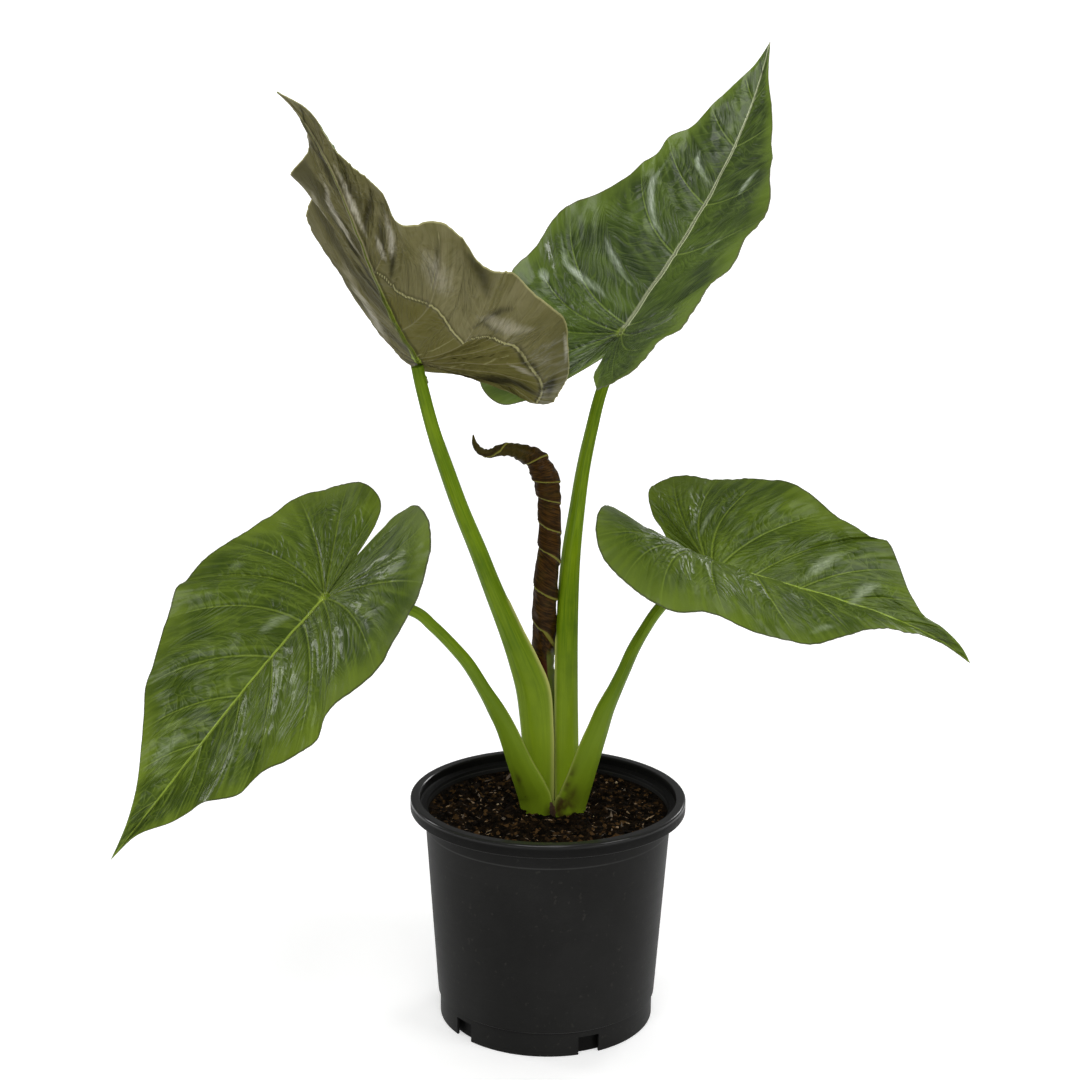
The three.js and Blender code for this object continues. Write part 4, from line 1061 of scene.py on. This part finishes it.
def rollFinish(name):
    # Streaks follow the turns, the free edge is a pale line with painted shade just past it,
    # and the foot turns red, then green
    look = rollLook
    finish = Finish(name, look)
    mask = finish.mask
    turn, along, tip, high, leftward = finish.attributes("turn", "along", "tip", "high", "leftward")
    turnwise, lengthwise = look["stretch"]
    streak = finish.noise("streak", finish.vector(turn * turnwise, along * lengthwise))
    mottle = finish.noise("mottle")
    part = turn.fraction()
    sliver = mask("sliverTop", high) * mask("sliverSide", leftward)
    base = finish.cover(
        finish.blend(mask("streaks", streak), "umber", "chocolate"),
        (mask("patches", mottle), "olive"),
        (tip * look["tipShare"], "olive"),
        (mask("edgeStart", part).most(mask("edgeEnd", part)) * look["edgeShare"], "edge"),
        # painted shade in a band just past the free edge
        (mask("paintedShadeBesideEdge", part), "umber"),
        (mask("wedgeTop", high) * mask("wedgeSide", leftward), "red"),
        (sliver.most(mask("youngTop", high)), "young"))
    relief = streak * look["streakRelief"] + mottle * look["mottleRelief"]
    rough = look["gloss"] + mottle * look["mottleRough"]
    specular = look["specular"]
    return finish.close(relief, base_color=base, roughness=rough, specular_ior_level=specular, **softSkin)


def makeRoll():
    # A spiral section: its radius shrinks round one turn and steps back out at the free edge
    style = rollStyle
    path = walkPath(rollStations, style["rows"], style["facing"])
    share, here = path[:2]
    full = here[:, 3:4]
    angle = roundAngles(style["sides"])
    place = share * (len(rollStations) - 1)
    turn = angle / turnRound + np.interp(place, style["places"], style["turns"])
    part = turn - np.floor(turn)
    stepBack = smoothStep(part, 1 - style["edgeSoftness"], 1.0)
    lengthwise = place * style["wrinklesAlong"]
    wrinkles = softNoise(angle * full, lengthwise, style["wrinkleSize"], style["wrinkleSeed"])
    wrinkles = style["wrinkle"] * wrinkles * smoothStep(full, *style["wrinkleRadius"])
    radius = full * (1 - style["step"] * part * (1 - stepBack)) + wrinkles
    attributes = {
        "turn": turn, "along": share, "leftward": np.cos(angle), "tip": smoothStep(place, *style["tip"]),
        "high": here[:, 2:3] * millimetre,
    }
    wide = radius * np.cos(angle)
    deep = radius * np.sin(angle)
    seat(makeTube("rolled_leaf_look", path, wide, deep, rollFinish("rolled_leaf"), attributes), "rolled_leaf")


makeRoll()
print("rolled leaf made")


# Pot: a turned wall with a broad rim, faint rings, a foot step and square notches

potStyle = {
    "height": 160.0, "rimRadius": 95.0, "rimInner": 88.5, "rimBand": 9.0, "rimRounding": 1.6,
    "rimUnderRounding": 0.8, "bodyTop": 85.3, "bodyFoot": 76.0, "footStep": 17.0, "stepRise": 1.0,
    "footRadius": 74.5, "wall": 2.0, "ledgeDrop": 6.0, "floorRadius": 70.4, "floorThickness": 2.4,
    "channelHeight": 13.0, "segments": 240, "wallSteps": 60, "cornerSteps": 6, "floorEdge": 0.6,
    "wallEdge": 0.4, "footEdge": 0.5, "rimEdge": 0.5, "neck": [[0.4, -0.3], [1.2, 0.0]],
    "ledge": [[-0.5, 0.4], [-1.0, 0.0]], "ledgeWall": [[0.4, -0.6], [0.0, -1.2]], "rings": (139.5, 30.0),
    "ringDepth": 0.25, "ringWidth": 0.7, "sharpAngle": 38.0, "notches": 5, "notchWidth": 15.0,
    "notchHeight": 13.0, "notchInner": 70.9, "notchOuter": 80.0, "firstNotch": -67.1,
}

potLook = {
    "body": "#1a1a19", "worn": "#393938", "dust": "#5d5a50", "hollow": "#030302",
    "grain": (1.0, 1.0, 14.0), "cloud": (14.0, 4.0), "fine": (260.0, 3.0), "scratch": (9.0, 6.0, 0.7),
    "pores": 1400.0, "clouds": (0.15, 0.35, 0.75), "scratches": (0.3, 0.62, 0.8),
    "dusty": (0.1, 0.62, 0.75), "highlightLineBreak": (1, 0.3, 0.6),
    # lines: painted highlight lines, each a height and a half width in metres and a strength
    "lines": [[0.1512, 0.0006, 1.0], [0.1395, 0.0007, 0.7], [0.0175, 0.0008, 0.8]], "lineCore": 0.5,
    # insideRadius and insideHeight bound the painted shade in the hollows behind the notches
    "insideRadius": (0.9, 0.073, 0.0722), "insideHeight": (1, 0.0132, 0.0129),
    "band": (0.6, 0.1508, 0.1516, 0.1575, 0.1592), "shine": (0.6, 0.1565, 0.1588), "fineRelief": 0.00004,
    "poreRelief": 0.00003, "scratchRelief": 0.00008, "gloss": 0.4, "cloudRough": 0.12,
    "scratchRough": 0.08, "specular": 0.07, "shineRough": 0.15,
}


def potFinish():
    # Painted highlight lines at three heights, in the worn colour; painted shade in the hollows behind the
    # notches; and a dark rim band with a shiny top
    look = potLook
    finish = Finish("pot", look)
    mask = finish.mask
    cloud = finish.noise("cloud")
    fine = finish.noise("fine")
    scratch = finish.noise("scratch", finish.stretched("grain"))
    x, y, high = finish.parts()
    # Painted highlight lines at the rim's lower edge, at a ring and at the foot step, broken up by cloud
    # noise
    lines = []
    for at, half, share in look["lines"]:
        line = finish.ramp((high - at).size(), half, half * look["lineCore"])
        lines.append((line * mask("highlightLineBreak", cloud) * share, "worn"))
    # Painted shade: the hollows behind the notches turn near black
    inside = mask("insideRadius", (x * x + y * y).root()) * mask("insideHeight", high)
    base = finish.cover(
        finish.blend(mask("clouds", cloud), "body", "worn"),
        (mask("scratches", scratch), "worn"),
        (mask("dusty", fine), "dust"),
        *lines,
        # painted shade of the notch hollows
        (inside, "hollow"),
        (mask("band", high), "hollow"))
    relief = fine * look["fineRelief"] + finish.cells("pores") * look["poreRelief"]
    relief = relief + scratch * look["scratchRelief"]
    rough = look["gloss"] + cloud * look["cloudRough"] + scratch * look["scratchRough"]
    return finish.close(relief, base_color=base, roughness=rough, specular_ior_level=look["specular"],
                        coat_weight=mask("shine", high), coat_roughness=look["shineRough"])


def rounded(radius, high, rounding, start, end):
    # Points of an arc round a middle given as radius and height, from one angle to another in degrees
    corner = np.radians(np.linspace(start, end, potStyle["cornerSteps"]))
    return [[radius + rounding * math.cos(bend), high + rounding * math.sin(bend)] for bend in corner]


def potProfile():
    # Radius against height, from the middle of the underside over the wall and the rim to the floor inside
    style = potStyle
    height, rim, inner = style["height"], style["rimRadius"], style["rimInner"]
    under = height - style["rimBand"]
    ledge = height - style["ledgeDrop"]
    step = style["footStep"] + style["stepRise"]
    wall, floor, foot = style["wall"], style["floorRadius"], style["footRadius"]
    thin, channel = style["floorThickness"], style["channelHeight"]
    high = np.linspace(step, under - 1, style["wallSteps"])
    outer = style["bodyFoot"] + (high - step) / (under - step) * (style["bodyTop"] - style["bodyFoot"])
    outer = outer + style["ringDepth"] * sum(bell(high - ring, style["ringWidth"]) for ring in style["rings"])
    lip = style["rimUnderRounding"]
    curve = style["rimRounding"]

    def near(radius, level, key):
        return [[radius + out, level + up] for out, up in style[key]]

    return np.array([
        [0, 0], [floor - style["floorEdge"], 0], [floor, style["floorEdge"]], [floor, channel - thin],
        [foot - wall, channel - thin], [foot - wall, style["wallEdge"]], [foot - wall + style["wallEdge"], 0],
        [foot - style["footEdge"], 0], [foot, style["footEdge"]], [foot, style["footStep"]],
        *zip(outer, high),
        *near(style["bodyTop"], under, "neck"),
        *rounded(rim - lip, under + lip, lip, -90, 0),
        *rounded(rim - curve, height - curve, curve, 0, 90),
        [inner + style["rimEdge"], height], [inner, height - style["rimEdge"]],
        *near(inner, ledge, "ledge"),
        *near(style["bodyTop"] - wall, ledge, "ledgeWall"),
        [style["bodyFoot"] - wall, step], [style["bodyFoot"] - wall, channel],
        [floor - thin, channel], [floor - thin, thin], [0, thin]])


def makePot():
    # The profile turned about the axis, then square notches cut through its foot
    style = potStyle
    profile = potProfile()
    angle = roundAngles(style["segments"])
    radius = profile[:, :1]
    points = np.stack([radius * np.cos(angle), radius * np.sin(angle), profile[:, 1:] + 0 * angle], axis=-1)
    faces = gridFaces(len(profile), style["segments"], closedAcross=True)
    pot = makePiece("pot_look", points, faces, potFinish(), sharpAngle=style["sharpAngle"])
    cutter = makeNotches()
    trim = pot.modifiers.new("notches", "BOOLEAN")
    trim.operation = "DIFFERENCE"
    trim.object = cutter
    trim.solver = "EXACT"
    bpy.context.view_layer.update()
    shaped = bpy.data.meshes.new_from_object(pot.evaluated_get(bpy.context.evaluated_depsgraph_get()))
    pot.modifiers.clear()
    pot.data = shaped
    bpy.data.objects.remove(cutter)
    shaped.set_sharp_from_angle(angle=math.radians(style["sharpAngle"]))
    seat(pot, "pot")


def makeNotches():
    # One block for each notch, from just outside the pot's floor to outside its foot
    style = potStyle
    signs = np.array([[x, y, z] for x in (0, 1) for y in (-1, 1) for z in (-1, 1)], dtype=float)
    quads = np.array([[0, 1, 3, 2], [4, 6, 7, 5], [0, 4, 5, 1], [2, 3, 7, 6], [0, 2, 6, 4], [1, 5, 7, 3]])
    number = np.arange(style["notches"])[:, None]
    angle = math.radians(style["firstNotch"]) + turnRound * number / style["notches"]
    x = style["notchInner"] + signs[:, 0] * (style["notchOuter"] - style["notchInner"])
    y = signs[:, 1] * style["notchWidth"] / 2
    z = signs[:, 2] * style["notchHeight"] + 0 * angle
    points = np.stack([*turned(x, y, angle), z], axis=-1)
    faces = (quads + len(signs) * number[..., None]).reshape(-1, 4)
    return makePiece("notches", points, faces, bpy.data.materials.new("cutter"), mend=False)


makePot()
print("pot made")


# Soil: a lumpy top with crumbs, light grit and bits of wood. Bits give their count, the ends of their size,
# the most that they are stretched, the share of it that they sink, and how far they stay from the wall.

soilStyle = {
    "level": 148.5, "lumpHeight": 1.6, "lumpSpacing": 17.0, "rings": 110, "segments": 300, "radius": 82.8,
    "bottomRadius": 73.6, "bottom": 13.4, "seed": 5, "ripple": 1.5, "rippleSize": 7.0,
    "waves": [[2.1, 1.3, 0.0], [-1.9, 3.7, 1.0], [5.3, 0.7, 2.0]],
    "crumbs": [5200, (0.4, 2.8), 1.4, 0.2, 2.0],
    "grit": [100, (0.4, 2.0), 1.3, 0.0, 2.0],
    "wood": [170, (0.25, 1.1), 8.0, -0.3, 4.0],
    "flatness": (0.5, 0.9), "jitter": (0.75, 1.25), "tilt": 0.5, "gritPaleness": 1.5, "woodDarkness": 0.8,
    "bitSharpAngle": 30.0,
}

soilLook = {
    "dark": "#080502", "brown": "#20160b", "light": "#63492a", "clod": (160.0, 5.0, 0.7), "flecks": 420.0,
    "clods": (1, 0.42, 0.68), "lightKinds": (0.6, 0.55, 1.0), "clodRelief": 0.0022, "fleckRelief": 0.0008,
    "gloss": 0.75, "clodRough": 0.15, "specular": 0.05,
}

chipLook = {
    "dark": "#3c2a18", "tan": "#8a6a42", "pale": "#c9b48c", "grey": "#8f897c", "grain": (500.0, 3.0),
    "tanKinds": (1, 0.1, 0.6), "paleKinds": (1, 0.7, 1.0), "greyShare": 0.4, "relief": 0.0003,
    "gloss": 0.75, "grainRough": 0.15,
}


def soilTop(x, y):
    # Low uneven lumps from three crossing sine waves, and small ripples, flat at the wall
    style = soilStyle
    a = x / style["lumpSpacing"]
    b = y / style["lumpSpacing"]
    lumps = sum(np.sin(ax * a + bx * b + phase) for ax, bx, phase in style["waves"])
    inward = np.clip((style["radius"] - np.hypot(x, y)) / style["lumpSpacing"], 0, 1)
    ripples = style["ripple"] * softNoise(x, y, style["rippleSize"], style["seed"])
    return style["level"] + (lumps / len(style["waves"]) * style["lumpHeight"] + ripples) * inward


def soilFinish():
    look = soilLook
    finish = Finish("soil", look)
    clod = finish.noise("clod")
    kind, = finish.attributes("kind")
    base = finish.blend(finish.mask("clods", clod), "dark", "brown")
    base = finish.cover(base, (finish.mask("lightKinds", kind), "light"))
    relief = clod * look["clodRelief"] + finish.cells("flecks") * look["fleckRelief"]
    rough = look["gloss"] + clod * look["clodRough"]
    return finish.close(relief, base_color=base, roughness=rough, specular_ior_level=look["specular"])


def chipFinish():
    look = chipLook
    finish = Finish("soil_chips", look)
    kind, = finish.attributes("kind")
    grain = finish.noise("grain")
    base = finish.cover(
        finish.blend(finish.mask("tanKinds", kind), "dark", "tan"),
        (finish.mask("paleKinds", kind), "pale"),
        (grain * look["greyShare"], "grey"))
    rough = look["gloss"] + grain * look["grainRough"]
    return finish.close(grain * look["relief"], base_color=base, roughness=rough)


def bitsOn(bits, draw):
    # Small eight-sided stones: an octahedron squashed, stretched and turned at random for each bit
    style = soilStyle
    count, sizes, stretch, sink, inset = bits
    corner = np.array([[1, 0, 0], [0, 1, 0], [-1, 0, 0], [0, -1, 0], [0, 0, 1], [0, 0, -1]], dtype=float)
    sides = np.array([[0, 1, 4], [1, 2, 4], [2, 3, 4], [3, 0, 4], [1, 0, 5], [2, 1, 5], [3, 2, 5], [0, 3, 5]])
    radius = (style["radius"] - inset) * np.sqrt(draw.uniform(0, 1, count))
    angle = draw.uniform(0, turnRound, count)
    x = radius * np.cos(angle)
    y = radius * np.sin(angle)
    size = sizes[0] + (sizes[1] - sizes[0]) * draw.uniform(0, 1, count) ** 2
    long = size * draw.uniform(1, stretch, count)
    scale = np.stack([long, size, size * draw.uniform(*style["flatness"], count)], axis=-1)
    shape = corner * scale[:, None] * draw.uniform(*style["jitter"], (count, len(corner), 3))
    spin = draw.uniform(0, turnRound, count)[:, None]
    tilt = draw.uniform(-style["tilt"], style["tilt"], count)[:, None]
    leant, high = turned(shape[..., 0], shape[..., 2], tilt)
    spun = turned(leant, shape[..., 1], spin)
    centre = np.stack([x, y, soilTop(x, y) - sink * size], axis=-1)
    faces = sides + len(corner) * np.arange(count)[:, None, None]
    return np.stack([*spun, high], axis=-1) + centre[:, None], faces.reshape(-1, 3)


def makeSoil():
    # Rings from the middle out over the top, then down the wall and across the bottom
    style = soilStyle
    draw = np.random.default_rng(style["seed"])
    angle = roundAngles(style["segments"])
    radii = np.linspace(0, style["radius"], style["rings"])[:, None]
    x = radii * np.cos(angle)
    y = radii * np.sin(angle)
    top = np.stack([x, y, soilTop(x, y)], axis=-1)
    foot = np.array([style["bottomRadius"], 0.0])[:, None]
    low = np.stack([foot * np.cos(angle), foot * np.sin(angle), style["bottom"] + 0 * foot * angle], axis=-1)
    points = np.concatenate([top, low])
    faces = gridFaces(len(points), style["segments"], closedAcross=True)[:, ::-1]
    seat(makePiece("soil_look", points, faces, soilFinish(), {"kind": np.zeros(points.shape[:2])}), "soil")
    crumbs, crumbFaces = bitsOn(style["crumbs"], draw)
    crumbKind = draw.uniform(0, 1, len(crumbs))
    grit, gritFaces = bitsOn(style["grit"], draw)
    wood, woodFaces = bitsOn(style["wood"], draw)
    chips = np.concatenate([grit, wood])
    chipFaces = np.concatenate([gritFaces, woodFaces + grit[..., 0].size])
    gritKind = draw.uniform(0, 1, len(grit)) ** style["gritPaleness"]
    chipKind = np.concatenate([gritKind, draw.uniform(0, style["woodDarkness"], len(wood))])
    for name, bits, bitFaces, finish, kind in (("soil_crumbs", crumbs, crumbFaces, soilFinish(), crumbKind),
                                               ("soil_chips", chips, chipFaces, chipFinish(), chipKind)):
        kinds = {"kind": np.repeat(kind, bits.shape[1])}
        seatBeside(makePiece(name, bits, bitFaces, finish, kinds, style["bitSharpAngle"], mend=False))


makeSoil()
print("soil made")


# The corm under the soil keeps its CAD shape and gets a fibrous skin

cormLook = {
    "bark": "#4a3018", "straw": "#8a6a48", "grain": (1.0, 1.0, 0.15), "fibre": (60.0, 5.0, 0.7),
    "relief": 0.001, "gloss": 0.7, "fibreRough": 0.2,
}

corm = bpy.data.objects["corm"]
corm.data.materials.clear()
corm.data.materials.append(fibreFinish("corm", cormLook))


# Studio: a white sweep, a white sky and soft lights

studio = {
    "floorHalf": 3.0, "floorWide": 4.5, "back": 2.2, "sweepRadius": 1.2, "sweepSteps": 24, "wallHeight": 4.0,
    "nearFloor": 0.7, "floorDrop": 0.0005, "floorGlow": 0.44, "wallGlow": 0.8, "sky": 0.18,
    "lights": [
        {"name": "key", "place": (-0.2, -1.6, 2.1), "target": (0, 0, 0.4), "size": 1.5, "power": 27.0},
        {"name": "top", "place": (0.3, 0.2, 2.6), "target": (0, 0, 0.4), "size": 1.3, "power": 13.0},
        {"name": "left_back", "place": (-2.3, 0.9, 1.1), "target": (0, 0, 0.4), "size": 0.6, "power": 12.0},
        {"name": "low_back", "place": (1.4, 2.0, 1.2), "target": (0, 0, 0.35), "size": 0.7, "power": 11.0},
        {"name": "side", "place": (1.5, -0.9, 1.2), "target": (0, 0, 0.35), "size": 0.8, "power": 9.0},
    ],
}

floorLook = {
    "paper": "#f4f4f4", "white": "#ffffff", "grain": (8.0, 2.0), "grainShare": 0.03, "gloss": 0.6,
    "grainRough": 0.05,
}


def makeSweep(name, rows, glow):
    # Straight runs across the studio, one for each pair of a place along Y and a height, all in metres
    wide, along, high = np.array(rows).T
    points = np.stack([np.outer(wide, [-1, 1]), np.outer(along, [1, 1]), np.outer(high, [1, 1])], axis=-1)
    look = floorLook
    finish = Finish(name, look)
    grain = finish.noise("grain")
    base = finish.blend(grain * look["grainShare"], "paper", "white")
    rough = look["gloss"] + grain * look["grainRough"]
    material = finish.close(base_color=base, roughness=rough, emission_color=colour(look["paper"]),
                            emission_strength=glow)
    sweep = makePiece(name, points / millimetre, gridFaces(len(rows), 2), material, mend=False)
    return sweep


def makeStudio():
    # Floor that sweeps up into a wall: a straight run, a quarter turn, then a straight rise
    style = studio
    near = style["nearFloor"]
    wide = style["floorWide"]
    turn = np.radians(np.linspace(0, 90, style["sweepSteps"]))
    along = style["back"] + style["sweepRadius"] * np.sin(turn)
    high = style["sweepRadius"] * (1 - np.cos(turn)) - style["floorDrop"]
    rows = [[wide, y, z] for y, z in zip(along, high)]
    front = [wide, -style["floorHalf"], high[0]]
    top = [wide, along[-1], style["wallHeight"] - style["floorDrop"]]
    makeSweep("studio_near", [[near, -near, 0.0], [near, near, 0.0]], style["floorGlow"])
    floor = makeSweep("studio_floor", [front, rows[0]], style["floorGlow"])
    wall = makeSweep("studio_wall", rows + [top], style["wallGlow"])
    for sweep in (floor, wall):
        sweep.visible_glossy = False
    for item in style["lights"]:
        data = bpy.data.lights.new(item["name"], "AREA")
        data.size = item["size"]
        data.energy = item["power"]
        lamp = bpy.data.objects.new(item["name"], data)
        lamp.location = item["place"]
        lamp.visible_camera = False
        back = unit(np.array(item["place"]) - np.array(item["target"]))
        side = unit(np.cross([0, 0, 1.0], back))
        aim = Matrix([list(row) for row in zip(side, np.cross(back, side), back)])
        lamp.rotation_euler = aim.to_euler()
        bpy.context.scene.collection.objects.link(lamp)
    world = bpy.data.worlds.new("studio_sky")
    world.use_nodes = True
    background = world.node_tree.nodes["Background"].inputs
    background["Color"].default_value = (1.0, 1.0, 1.0, 1.0)
    background["Strength"].default_value = style["sky"]
    bpy.context.scene.world = world
    bpy.context.scene.view_settings.view_transform = "Standard"


makeStudio()
print("studio lit")
